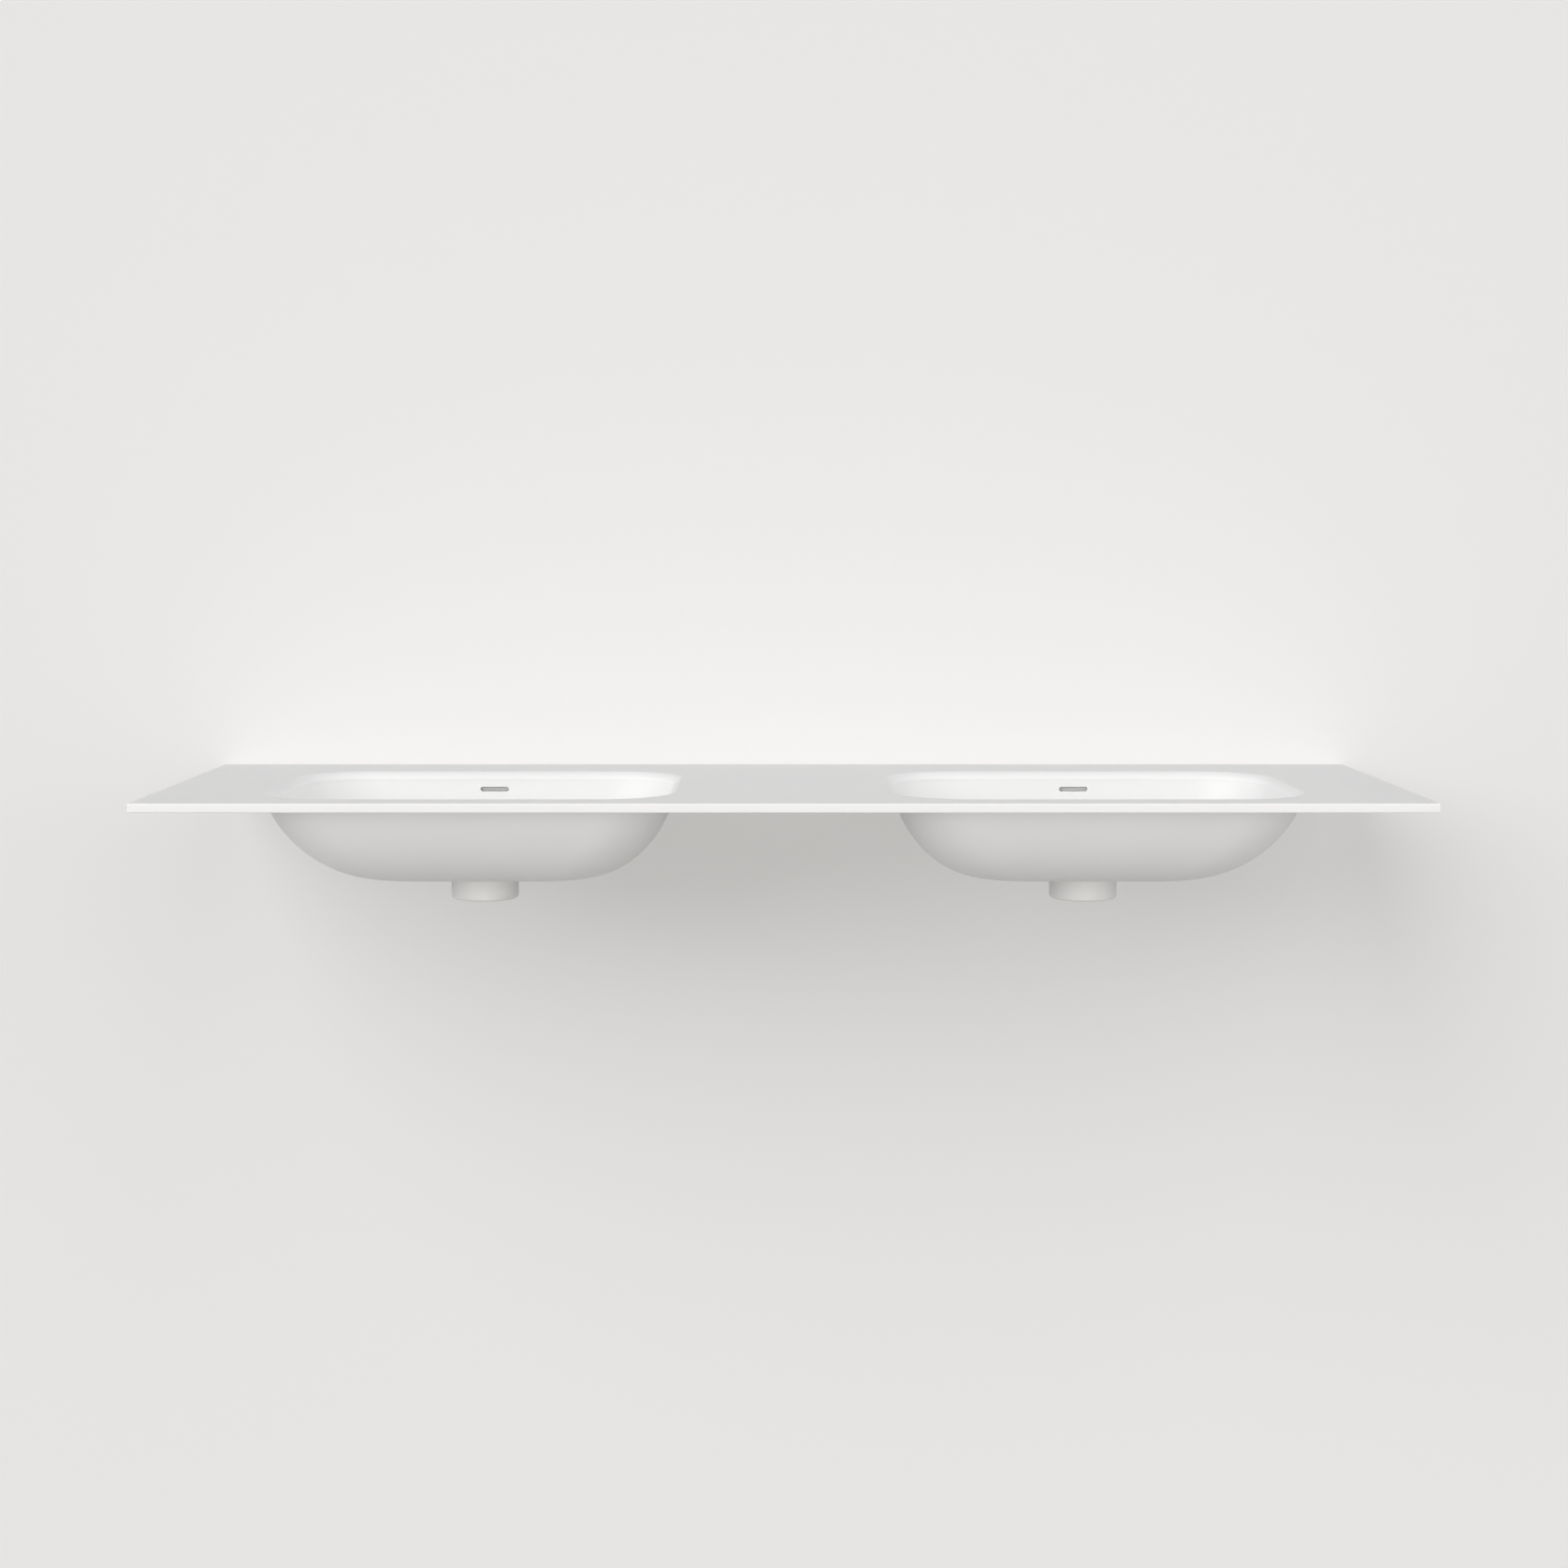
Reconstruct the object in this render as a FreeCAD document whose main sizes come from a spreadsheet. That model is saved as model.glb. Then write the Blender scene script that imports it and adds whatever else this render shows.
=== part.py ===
"""A double sink vanity top: a thin sheet with two bowls bonded up under rolled cut-outs.

The origin is the middle of the sheet's underside, +X is to the right, +Y to the wall, +Z up.
Each basin has a push-push stopper in its floor and an overflow duct behind its back wall.
"""

import FreeCAD, Part
import os
import re
import Sketcher

Vector = FreeCAD.Vector

SIZES = {
    # the sheet
    "top_width": 1400,
    "top_depth": 460,
    "slab_thickness": 10,
    "slab_corner": 2.5,
    "top_edge_round": 1.5,
    "under_edge_round": 1,
    # the two basins, measured at the outer edge of the rolled rim
    "basin_pitch": 700,
    "basin_width": 458,
    "basin_depth": 322,
    "basin_corner": 82,
    "basin_front": 44,
    "rebate_depth": 0.5,
    "rebate_clearance": 0.4,
    "rim_land": 0.5,
    "adhesive_thickness": 0.4,
    # each bowl, a shell that narrows to a flat floor set towards the wall
    "bowl_drop": 98.5,
    "bowl_wall": 5,
    "bowl_floor": 10,
    "profile_power": 1.44,
    "floor_width": 220,
    "floor_depth": 107,
    "floor_corner": 48,
    "floor_setback": 72,
    # the overflow
    "slot_width": 34,
    "slot_height": 5,
    "slot_drop": 10.7,
    "cover_gap": 0.6,
    "cover_setback": 2,
    "cover_thickness": 1.5,
    "cover_leg": 3,
    "cover_leg_pitch": 20,
    "cover_fit": 0.05,
    "boss_width": 62,
    "boss_height": 14,
    "boss_proud": 2,
    "boss_corner": 4,
    "gasket_thickness": 2,
    "duct_width": 42,
    "duct_thickness": 8,
    "duct_wall": 1.5,
    "duct_bend": 10,
    "duct_lead": 6,
    "duct_flange": 3,
    "screw_pitch": 52,
    "screw_radius": 1.9,
    "screw_length": 10,
    "screw_head_radius": 3.5,
    "screw_head_height": 2.5,
    "screw_clearance": 0.3,
    # the drain
    "drain_setback": 42.5,
    "flange_recess": 2.5,
    "flange_radius": 33.8,
    "flange_lip": 2,
    "flange_clearance": 0.5,
    "flange_seal_thickness": 1,
    "neck_radius": 29,
    "neck_clearance": 0.3,
    "thread_radius": 25,
    "thread_clearance": 0.25,
    "throat_radius": 22,
    "throat_ledge": 1.5,
    "seat_chamfer": 3.5,
    "housing_radius": 39.2,
    "housing_height": 29,
    "housing_round": 3.5,
    "housing_top": 3.5,
    "chamber_radius": 30,
    "chamber_height": 10,
    "socket_radius": 20.1,
    "socket_stop": 1.5,
    "socket_ledge": 2.1,
    "port_clearance": 0.3,
    "ring_radius": 34,
    "ring_width": 3.8,
    "ring_thickness": 1.5,
    "ring_clearance": 0.1,
    # the stopper
    "guide_height": 3,
    "guide_rim": 3.3,
    "guide_clearance": 0.2,
    "hub_radius": 6,
    "hub_height": 5,
    "spoke_width": 3,
    "cartridge_radius": 4,
    "cartridge_length": 14,
    "cartridge_head": 1.5,
    "cartridge_bore": 2.75,
    "cartridge_end": 2,
    "cap_radius": 31,
    "cap_edge": 1.6,
    "cap_dome": 2.6,
    "cap_gap": 0.3,
    "cap_boss_drop": 4.3,
    "cap_socket": 3,
    "stem_radius": 2.5,
    "stem_clearance": 0.05,
    "stem_length": 17.5,
    "plug_travel": 8,
    "plug_seal_inner": 17,
    "plug_seal_outer": 22.8,
    "plug_seal_thickness": 2.5,
}

SPOKES = 3
SECTIONS = 8  # steps of the bowl's profile, from the rim to the floor

doc = FreeCAD.newDocument("double_basin_top")
sheet = doc.addObject("Spreadsheet::Sheet", "Sizes")
for row, (name, value) in enumerate(SIZES.items(), start=1):
    sheet.set(f"A{row}", name)
    sheet.set(f"B{row}", str(value))
    sheet.setAlias(f"B{row}", name)
doc.recompute()

pieces = []


def bound(text):
    """An expression on the sheet's cells, from one on their bare names."""
    return re.sub(r"[a-z_]+", lambda word: "Sizes." + word[0] if word[0] in SIZES else word[0], text)


def bind(thing, target, text):
    thing.setExpression(target, bound(text))


def worth(text):
    """The value that an expression has now, as a first guess for a sketch."""
    return float(sheet.evalExpression(bound(text)))


# Levels and places that several pieces share, measured from the origin
ROLL = "(slab_thickness - rebate_depth - rim_land)"
RIM_Z = "(rebate_depth - adhesive_thickness)"
FRONT = "(basin_front - top_depth / 2)"
BACK = f"({FRONT} + basin_depth)"
FLOOR_BACK = f"({BACK} - floor_setback)"
FLOOR_Z = "(bowl_floor - bowl_drop)"
DRAIN_Y = f"({FLOOR_BACK} - drain_setback)"
BOSS_Y = f"({BACK} - {ROLL} + bowl_wall + boss_proud)"
SEAT_Y = f"({BOSS_Y} + gasket_thickness)"
COVER_Y = f"({BACK} - {ROLL} + cover_setback)"

# Levels in the drain, measured from the bowl's floor
LIP_Z = "(flange_seal_thickness - flange_recess)"
NECK_Z = f"({LIP_Z} - 2 * flange_lip)"
SKIRT_END = "(-bowl_floor - housing_top)"
CHAMBER_END = f"({SKIRT_END} - chamber_height)"
STOP_Z = f"({CHAMBER_END} - socket_stop)"
HOUSING_END = "(-bowl_floor - housing_height)"
PORT_Z = f"({SKIRT_END} - chamber_height / 2)"
GUIDE_Z = f"({SKIRT_END} + throat_ledge)"
HUB_TOP = f"({GUIDE_Z} - (hub_height - guide_height) / 2 + hub_height)"
CAP_Z = f"({LIP_Z} + flange_lip + cap_gap)"
STEM_TOP = f"({CAP_Z} - cap_boss_drop + cap_socket)"


def start_body(label, x="0", y="0", z="0"):
    body = doc.addObject("PartDesign::Body", label)
    body.Label = label
    for axis, text in zip("xyz", (x, y, z)):
        bind(body, f"Placement.Base.{axis}", text)
    pieces.append(body)
    return body


def sketch_on(body, name, plane, offset="0"):
    """A sketch on one of the body's own planes, moved along the plane's normal."""
    sketch = body.newObject("Sketcher::SketchObject", f"{body.Name}_{name}")
    support = [item for item in body.Origin.OriginFeatures if item.Role == plane][0]
    sketch.AttachmentSupport = (support, "")
    sketch.MapMode = "FlatFace"
    bind(sketch, "AttachmentOffset.Base.z", offset)
    return sketch


def hold(sketch, kind, name, text, *places):
    """Add one named dimension to a sketch and bind it."""
    index = sketch.addConstraint(Sketcher.Constraint(kind, *places, worth(text)))
    sketch.renameConstraint(index, name)
    bind(sketch, f"Constraints.{name}", text)


def circle(sketch, name, radius, x="0", y="0"):
    middle = Vector(worth(x), worth(y), 0)
    item = sketch.addGeometry(Part.Circle(middle, Vector(0, 0, 1), worth(radius)), False)
    hold(sketch, "DistanceX", f"{name}_x", x, -1, 1, item, 3)
    hold(sketch, "DistanceY", f"{name}_y", y, -1, 1, item, 3)
    hold(sketch, "Radius", f"{name}_radius", radius, item)


def rounded_rectangle(sketch, name, middle, half, low, high, corner):
    """Four lines and four tangent arcs, run anticlockwise from the right-hand side."""
    x, a, y0, y1, r = [worth(text) for text in (middle, half, low, high, corner)]
    turn = 1.5707963267948966
    runs = [
        (Vector(x + a, y0 + r), Vector(x + a, y1 - r)),
        (Vector(x + a - r, y1), Vector(x - a + r, y1)),
        (Vector(x - a, y1 - r), Vector(x - a, y0 + r)),
        (Vector(x - a + r, y0), Vector(x + a - r, y0)),
    ]
    turns = [
        Vector(x + a - r, y1 - r),
        Vector(x - a + r, y1 - r),
        Vector(x - a + r, y0 + r),
        Vector(x + a - r, y0 + r),
    ]
    sides = []
    corners = []
    for number, (run, centre) in enumerate(zip(runs, turns)):
        sides.append(sketch.addGeometry(Part.LineSegment(*run), False))
        round_edge = Part.Circle(centre, Vector(0, 0, 1), r)
        arc = Part.ArcOfCircle(round_edge, number * turn, (number + 1) * turn)
        corners.append(sketch.addGeometry(arc, False))
    for number in range(4):
        following = sides[(number + 1) % 4]
        sketch.addConstraint(Sketcher.Constraint("Tangent", sides[number], 2, corners[number], 1))
        sketch.addConstraint(Sketcher.Constraint("Tangent", corners[number], 2, following, 1))
        direction = "Horizontal" if number % 2 else "Vertical"
        sketch.addConstraint(Sketcher.Constraint(direction, sides[number]))
        if number:
            sketch.addConstraint(Sketcher.Constraint("Equal", corners[0], corners[number]))
    hold(sketch, "Radius", f"{name}_corner", corner, corners[0])
    hold(sketch, "DistanceX", f"{name}_right", f"{middle} + {half}", -1, 1, sides[0], 1)
    hold(sketch, "DistanceX", f"{name}_left", f"{middle} - ({half})", -1, 1, sides[2], 1)
    hold(sketch, "DistanceY", f"{name}_high", high, -1, 1, sides[1], 1)
    hold(sketch, "DistanceY", f"{name}_low", low, -1, 1, sides[3], 1)


def volume(body):
    doc.recompute()
    return body.Shape.Volume


def pad(body, sketch, length, backwards=False):
    before = volume(body) if body.Tip else 0
    feature = body.newObject("PartDesign::Pad", f"{sketch.Name}_pad")
    feature.Profile = sketch
    feature.Reversed = backwards
    bind(feature, "Length", length)
    if volume(body) <= before:
        raise RuntimeError(f"{feature.Name} adds nothing")
    return feature


def pocket(body, sketch, length, backwards=False):
    before = volume(body)
    feature = body.newObject("PartDesign::Pocket", f"{sketch.Name}_pocket")
    feature.Profile = sketch
    feature.Reversed = backwards
    bind(feature, "Length", length)
    if volume(body) >= before:
        raise RuntimeError(f"{feature.Name} cuts nothing")
    return feature


def disc(body, name, radius, low, high):
    """Add a round step between two levels."""
    sketch = sketch_on(body, name, "XY_Plane", low)
    circle(sketch, "edge", radius)
    return pad(body, sketch, f"{high} - ({low})")


def bore(body, name, radius, low, high, x="0", y="0"):
    """Cut a round hole between two levels."""
    sketch = sketch_on(body, name, "XY_Plane", high)
    circle(sketch, "edge", radius, x, y)
    return pocket(body, sketch, f"{high} - ({low})")


def ring(label, place, inner, outer, low, high):
    """A flat seal ring."""
    body = start_body(label, *place)
    sketch = sketch_on(body, "ring", "XY_Plane", low)
    circle(sketch, "outer", outer)
    circle(sketch, "inner", inner)
    pad(body, sketch, f"{high} - ({low})")
    return body


def edges_of(feature, wanted):
    """The names of a feature's edges that a test on the edge picks."""
    doc.recompute()
    return [f"Edge{n}" for n, edge in enumerate(feature.Shape.Edges, start=1) if wanted(edge)]


def dress(body, kind, feature, wanted, target, size):
    """Round or bevel the picked edges."""
    names = edges_of(feature, wanted)
    if not names:
        raise RuntimeError(f"{feature.Name} has no such edge")
    dressing = body.newObject(f"PartDesign::{kind}", f"{feature.Name}_{kind.lower()}")
    dressing.Base = (feature, names)
    bind(dressing, target, size)
    doc.recompute()
    return dressing


def flat_at(edge, level):
    """Does the edge lie all along one level?"""
    box = edge.BoundBox
    return abs(box.ZMin - level) < 1e-4 and abs(box.ZMax - level) < 1e-4


def round_at(edge, level, radius):
    """Is the edge a circle of this radius at this level?"""
    return flat_at(edge, level) and isinstance(edge.Curve, Part.Circle) and abs(edge.Curve.Radius - radius) < 1e-4


def basin_outline(sketch, name, middle, growth, corner):
    """A basin's outline, grown outwards from the rolled rim's inner edge."""
    half = f"(basin_width / 2 - {ROLL} + {growth})"
    low = f"({FRONT} + {ROLL} - ({growth}))"
    high = f"({BACK} - {ROLL} + {growth})"
    rounded_rectangle(sketch, name, middle, half, low, high, corner)


RIM_CORNER = f"(basin_corner - {ROLL})"
SLOT_CORNER = "slot_height * 0.49"


def make_slab():
    """The sheet, with two rolled cut-outs and a rebate round each on the underside."""
    body = start_body("deck_slab")
    outline = sketch_on(body, "outline", "XY_Plane")
    half_depth = "top_depth / 2"
    rounded_rectangle(outline, "edge", "0", "top_width / 2", f"-{half_depth}", half_depth, "slab_corner")
    pad(body, outline, "slab_thickness")
    rebates = sketch_on(body, "rebates", "XY_Plane")
    openings = sketch_on(body, "openings", "XY_Plane")
    for side, sign in (("left", "-"), ("right", "")):
        middle = f"{sign}basin_pitch / 2"
        room = "bowl_wall + rebate_clearance"
        basin_outline(rebates, side, middle, room, f"{RIM_CORNER} + {room}")
        basin_outline(openings, side, middle, "0", RIM_CORNER)
    pocket(body, rebates, "rebate_depth", backwards=True)
    cut = pocket(body, openings, "slab_thickness", backwards=True)
    top = worth("slab_thickness")
    reach = worth("top_width / 2") - worth("slab_corner") - 1
    depth = worth("top_depth / 2") - worth("slab_corner") - 1

    def outside(edge):
        box = edge.BoundBox
        across = max(abs(box.XMin), abs(box.XMax)) > reach
        return across or max(abs(box.YMin), abs(box.YMax)) > depth

    rolled = dress(body, "Fillet", cut, lambda e: flat_at(e, top) and not outside(e), "Radius", ROLL)
    eased = dress(body, "Fillet", rolled, lambda e: flat_at(e, top) and outside(e), "Radius", "top_edge_round")
    dress(body, "Fillet", eased, lambda e: flat_at(e, 0) and outside(e), "Radius", "under_edge_round")


def shell_sections(body, name, wall, height):
    """Level outlines down the bowl: at turn a, inset as cos(a) and deep as sin(a) to a power."""
    sketches = []
    for step in range(SECTIONS + 1):
        turn = 90 * step / SECTIONS
        level = f"{RIM_Z} - ({height}) * sin({turn})^profile_power"
        sketch = sketch_on(body, f"{name}{step}", "XY_Plane", level)

        def between(floor, rim):
            return f"({floor} + ({rim} - ({floor})) * cos({turn}))"

        half = between("floor_width / 2", f"(basin_width / 2 - {ROLL} + {wall})")
        low = between(f"({FLOOR_BACK} - floor_depth)", f"({FRONT} + {ROLL} - {wall})")
        high = between(FLOOR_BACK, f"({BACK} - {ROLL} + {wall})")
        corner = between("floor_corner", f"({RIM_CORNER} + {wall})")
        rounded_rectangle(sketch, "wall", "0", half, low, high, corner)
        sketches.append(sketch)
    return sketches


def loft(body, kind, sketches):
    feature = body.newObject(f"PartDesign::{kind}", f"{sketches[0].Name}_loft")
    feature.Profile = sketches[0]
    feature.Sections = sketches[1:]
    doc.recompute()
    return feature


def wall_plate(body, name, width, height, corner, offset):
    """A rounded oblong on an upright plane, level with the overflow slot."""
    sketch = sketch_on(body, name, "XZ_Plane", f"-({offset})")
    low = f"-slot_drop - {height} / 2"
    rounded_rectangle(sketch, "plate", "0", f"{width} / 2", low, f"{low} + {height}", corner)
    return sketch


def screw_holes(body, name, radius, offset):
    sketch = sketch_on(body, name, "XZ_Plane", f"-({offset})")
    circle(sketch, "first", radius, "-screw_pitch / 2", "-slot_drop")
    circle(sketch, "second", radius, "screw_pitch / 2", "-slot_drop")
    return sketch


def make_bowl(side, middle):
    """The bowl: a lofted shell with a boss behind the overflow slot and a recessed drain."""
    body = start_body(f"{side}_bowl", middle)
    height = f"{RIM_Z} + bowl_drop"
    loft(body, "AdditiveLoft", shell_sections(body, "outside", "bowl_wall", height))
    boss = wall_plate(body, "boss", "boss_width", "boss_height", "boss_corner", BOSS_Y)
    pad(body, boss, "boss_proud + bowl_wall")
    loft(body, "SubtractiveLoft", shell_sections(body, "inside", "0", f"{height} - bowl_floor"))
    slot = wall_plate(body, "slot", "slot_width", "slot_height", SLOT_CORNER, BOSS_Y)
    pocket(body, slot, "boss_proud + 2 * bowl_wall", backwards=True)
    holes = screw_holes(body, "holes", "screw_radius + screw_clearance", BOSS_Y)
    grip = "screw_length - duct_flange - gasket_thickness + screw_clearance"
    pocket(body, holes, grip, backwards=True)
    ledge = f"{FLOOR_Z} - flange_recess"
    bore(body, "recess", "flange_radius + flange_clearance", ledge, FLOOR_Z, "0", DRAIN_Y)
    hole = "neck_radius + neck_clearance"
    bore(body, "drain", hole, f"{FLOOR_Z} - bowl_floor", ledge, "0", DRAIN_Y)


def make_cover(side, middle):
    """The overflow's cover: a strip set back in the slot, on two legs pressed into the boss."""
    body = start_body(f"{side}_overflow_cover", middle)
    width, height = [f"({size} - 2 * cover_gap)" for size in ("slot_width", "slot_height")]
    strip = wall_plate(body, "strip", width, height, f"{SLOT_CORNER} - cover_gap", COVER_Y)
    pad(body, strip, "cover_thickness", backwards=True)
    legs = sketch_on(body, "legs", "XZ_Plane", f"-({COVER_Y} + cover_thickness)")
    rise = "(slot_height / 2 - cover_fit)"
    for name, offset in (("first", "-cover_leg_pitch / 2"), ("second", "cover_leg_pitch / 2")):
        low, high = f"-slot_drop - {rise}", f"-slot_drop + {rise}"
        rounded_rectangle(legs, name, offset, "cover_leg / 2", low, high, "cover_leg / 10")
    pad(body, legs, "bowl_wall + boss_proud - cover_setback - cover_thickness", backwards=True)


def make_adhesive(side, middle):
    """The cured joint between the bowl's rim and the rebate's ceiling."""
    body = start_body(f"{side}_bowl_adhesive", middle)
    sketch = sketch_on(body, "bead", "XY_Plane", RIM_Z)
    edge = "adhesive_thickness"
    basin_outline(sketch, "outer", "0", f"bowl_wall - {edge}", f"{RIM_CORNER} + bowl_wall - {edge}")
    basin_outline(sketch, "inner", "0", edge, f"{RIM_CORNER} + {edge}")
    pad(body, sketch, "adhesive_thickness")


def make_housing(side, place):
    """The stub under the bowl: a neck through the floor, an overflow chamber and a pipe socket."""
    body = start_body(f"{side}_drain_housing", *place)
    disc(body, "barrel", "housing_radius", HOUSING_END, "-bowl_floor")
    neck = disc(body, "neck", "neck_radius", "-bowl_floor", NECK_Z)
    foot = worth(HOUSING_END)
    outer = worth("housing_radius")
    dress(body, "Fillet", neck, lambda e: round_at(e, foot, outer), "Radius", "housing_round")
    bore(body, "thread", "thread_radius + thread_clearance", SKIRT_END, NECK_Z)
    bore(body, "chamber", "chamber_radius", CHAMBER_END, SKIRT_END)
    bore(body, "stop", "socket_radius - socket_ledge", STOP_Z, CHAMBER_END)
    bore(body, "socket", "socket_radius", HOUSING_END, STOP_Z)
    groove = sketch_on(body, "groove", "XY_Plane", "-bowl_floor")
    spread = "(ring_width / 2 + ring_clearance)"
    circle(groove, "outer", f"ring_radius + {spread}")
    circle(groove, "inner", f"ring_radius - {spread}")
    pocket(body, groove, "ring_thickness")
    port = sketch_on(body, "port", "XZ_Plane", "-housing_radius - port_clearance")
    half = "(duct_width / 2 + port_clearance)"
    rise = "(duct_thickness / 2 + port_clearance)"
    low = f"{PORT_Z} - {rise}"
    rounded_rectangle(port, "port", "0", half, low, f"{PORT_Z} + {rise}", "duct_wall + port_clearance")
    reach = f"housing_radius + port_clearance - sqrt(chamber_radius^2 - {half}^2) + 1"
    pocket(body, port, reach, backwards=True)


def make_flange(side, place):
    """The metal ring in the floor, with a bevelled seat and a ledge that carries the guide."""
    body = start_body(f"{side}_waste_flange", *place)
    disc(body, "skirt", "thread_radius", SKIRT_END, LIP_Z)
    lip = disc(body, "lip", "flange_radius", LIP_Z, f"{LIP_Z} + flange_lip")
    crown = worth(f"{LIP_Z} + flange_lip")
    outer = worth("flange_radius")
    dress(body, "Fillet", lip, lambda e: round_at(e, crown, outer), "Radius", "flange_lip * 0.6")
    throat = bore(body, "throat", "throat_radius", GUIDE_Z, f"{LIP_Z} + flange_lip")
    inner = worth("throat_radius")
    dress(body, "Chamfer", throat, lambda e: round_at(e, crown, inner), "Size", "seat_chamfer")
    bore(body, "ledge", "throat_radius - throat_ledge", SKIRT_END, GUIDE_Z)


def make_guide(side, place):
    """The cross in the throat: a rim on the flange's ledge, three spokes and a hub."""
    body = start_body(f"{side}_plug_guide", *place)
    rim = sketch_on(body, "rim", "XY_Plane", GUIDE_Z)
    outer = "throat_radius - guide_clearance"
    circle(rim, "outer", outer)
    circle(rim, "inner", f"{outer} - guide_rim")
    pad(body, rim, "guide_height")
    spoke = sketch_on(body, "spoke", "XY_Plane", GUIDE_Z)
    low = "hub_radius / 2"
    rounded_rectangle(spoke, "arm", "0", "spoke_width / 2", low, f"{outer} - guide_rim / 2", "spoke_width / 5")
    before = volume(body)
    arm = body.newObject("PartDesign::Pad", f"{spoke.Name}_pad")
    arm.Profile = spoke
    bind(arm, "Length", "guide_height")
    doc.recompute()
    arms = body.newObject("PartDesign::PolarPattern", f"{body.Name}_arms")
    arms.Originals = [arm]
    arms.Axis = (spoke, ["N_Axis"])
    arms.Angle = 360
    arms.Occurrences = SPOKES
    body.Tip = arms
    if volume(body) <= before:
        raise RuntimeError("the guide has no spokes")
    disc(body, "hub", "hub_radius", f"{HUB_TOP} - hub_height", HUB_TOP)
    bore(body, "hole", "cartridge_radius + guide_clearance", f"{HUB_TOP} - hub_height", HUB_TOP)


def make_cartridge(side, place):
    """The push-push cartridge, hung by its head from the guide's hub."""
    body = start_body(f"{side}_latch_cartridge", *place)
    low = f"{HUB_TOP} - cartridge_length"
    disc(body, "barrel", "cartridge_radius", low, HUB_TOP)
    disc(body, "head", "hub_radius", HUB_TOP, f"{HUB_TOP} + cartridge_head")
    bore(body, "bore", "cartridge_bore", f"{low} + cartridge_end", f"{HUB_TOP} + cartridge_head")


def make_cap(side, place):
    """The stopper's domed cap, with a socket for the stem."""
    body = start_body(f"{side}_plug_cap", *place)
    profile = sketch_on(body, "profile", "XZ_Plane")
    base, edge, radius = worth(CAP_Z), worth("cap_edge"), worth("cap_radius")
    crown = base + edge + worth("cap_dome")
    sphere = (radius**2 + worth("cap_dome") ** 2) / (2 * worth("cap_dome"))
    corners = [Vector(0, crown, 0), Vector(0, base, 0), Vector(radius, base, 0), Vector(radius, base + edge, 0)]
    lines = [
        profile.addGeometry(Part.LineSegment(start, end), False)
        for start, end in zip(corners, corners[1:])
    ]
    middle = Vector(radius / 2, crown - worth("cap_dome") / 4 - radius**2 / 64 / sphere, 0)
    dome = profile.addGeometry(Part.Arc(corners[3], middle, corners[0]), False)
    chain = lines + [dome]
    for first, second in zip(lines, lines[1:]):
        profile.addConstraint(Sketcher.Constraint("Coincident", first, 2, second, 1))
    start_end = 1 if profile.Geometry[dome].StartPoint.distanceToPoint(corners[3]) < 1e-6 else 2
    profile.addConstraint(Sketcher.Constraint("Coincident", lines[2], 2, dome, start_end))
    profile.addConstraint(Sketcher.Constraint("Coincident", chain[0], 1, dome, 3 - start_end))
    profile.addConstraint(Sketcher.Constraint("PointOnObject", dome, 3, -2))
    profile.addConstraint(Sketcher.Constraint("PointOnObject", lines[0], 1, -2))
    profile.addConstraint(Sketcher.Constraint("Vertical", lines[0]))
    profile.addConstraint(Sketcher.Constraint("Horizontal", lines[1]))
    profile.addConstraint(Sketcher.Constraint("Vertical", lines[2]))
    hold(profile, "DistanceY", "base", CAP_Z, -1, 1, lines[1], 1)
    hold(profile, "DistanceX", "radius", "cap_radius", -1, 1, lines[1], 2)
    hold(profile, "DistanceY", "edge", f"{CAP_Z} + cap_edge", -1, 1, lines[2], 2)
    hold(profile, "DistanceY", "crown", f"{CAP_Z} + cap_edge + cap_dome", -1, 1, lines[0], 1)
    turned = body.newObject("PartDesign::Revolution", f"{body.Name}_dome")
    turned.Profile = profile
    turned.ReferenceAxis = (profile, ["V_Axis"])
    turned.Angle = 360
    doc.recompute()
    disc(body, "boss", "hub_radius", f"{CAP_Z} - cap_boss_drop", CAP_Z)
    bore(body, "socket", "stem_radius + stem_clearance", f"{CAP_Z} - cap_boss_drop", STEM_TOP)


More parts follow.
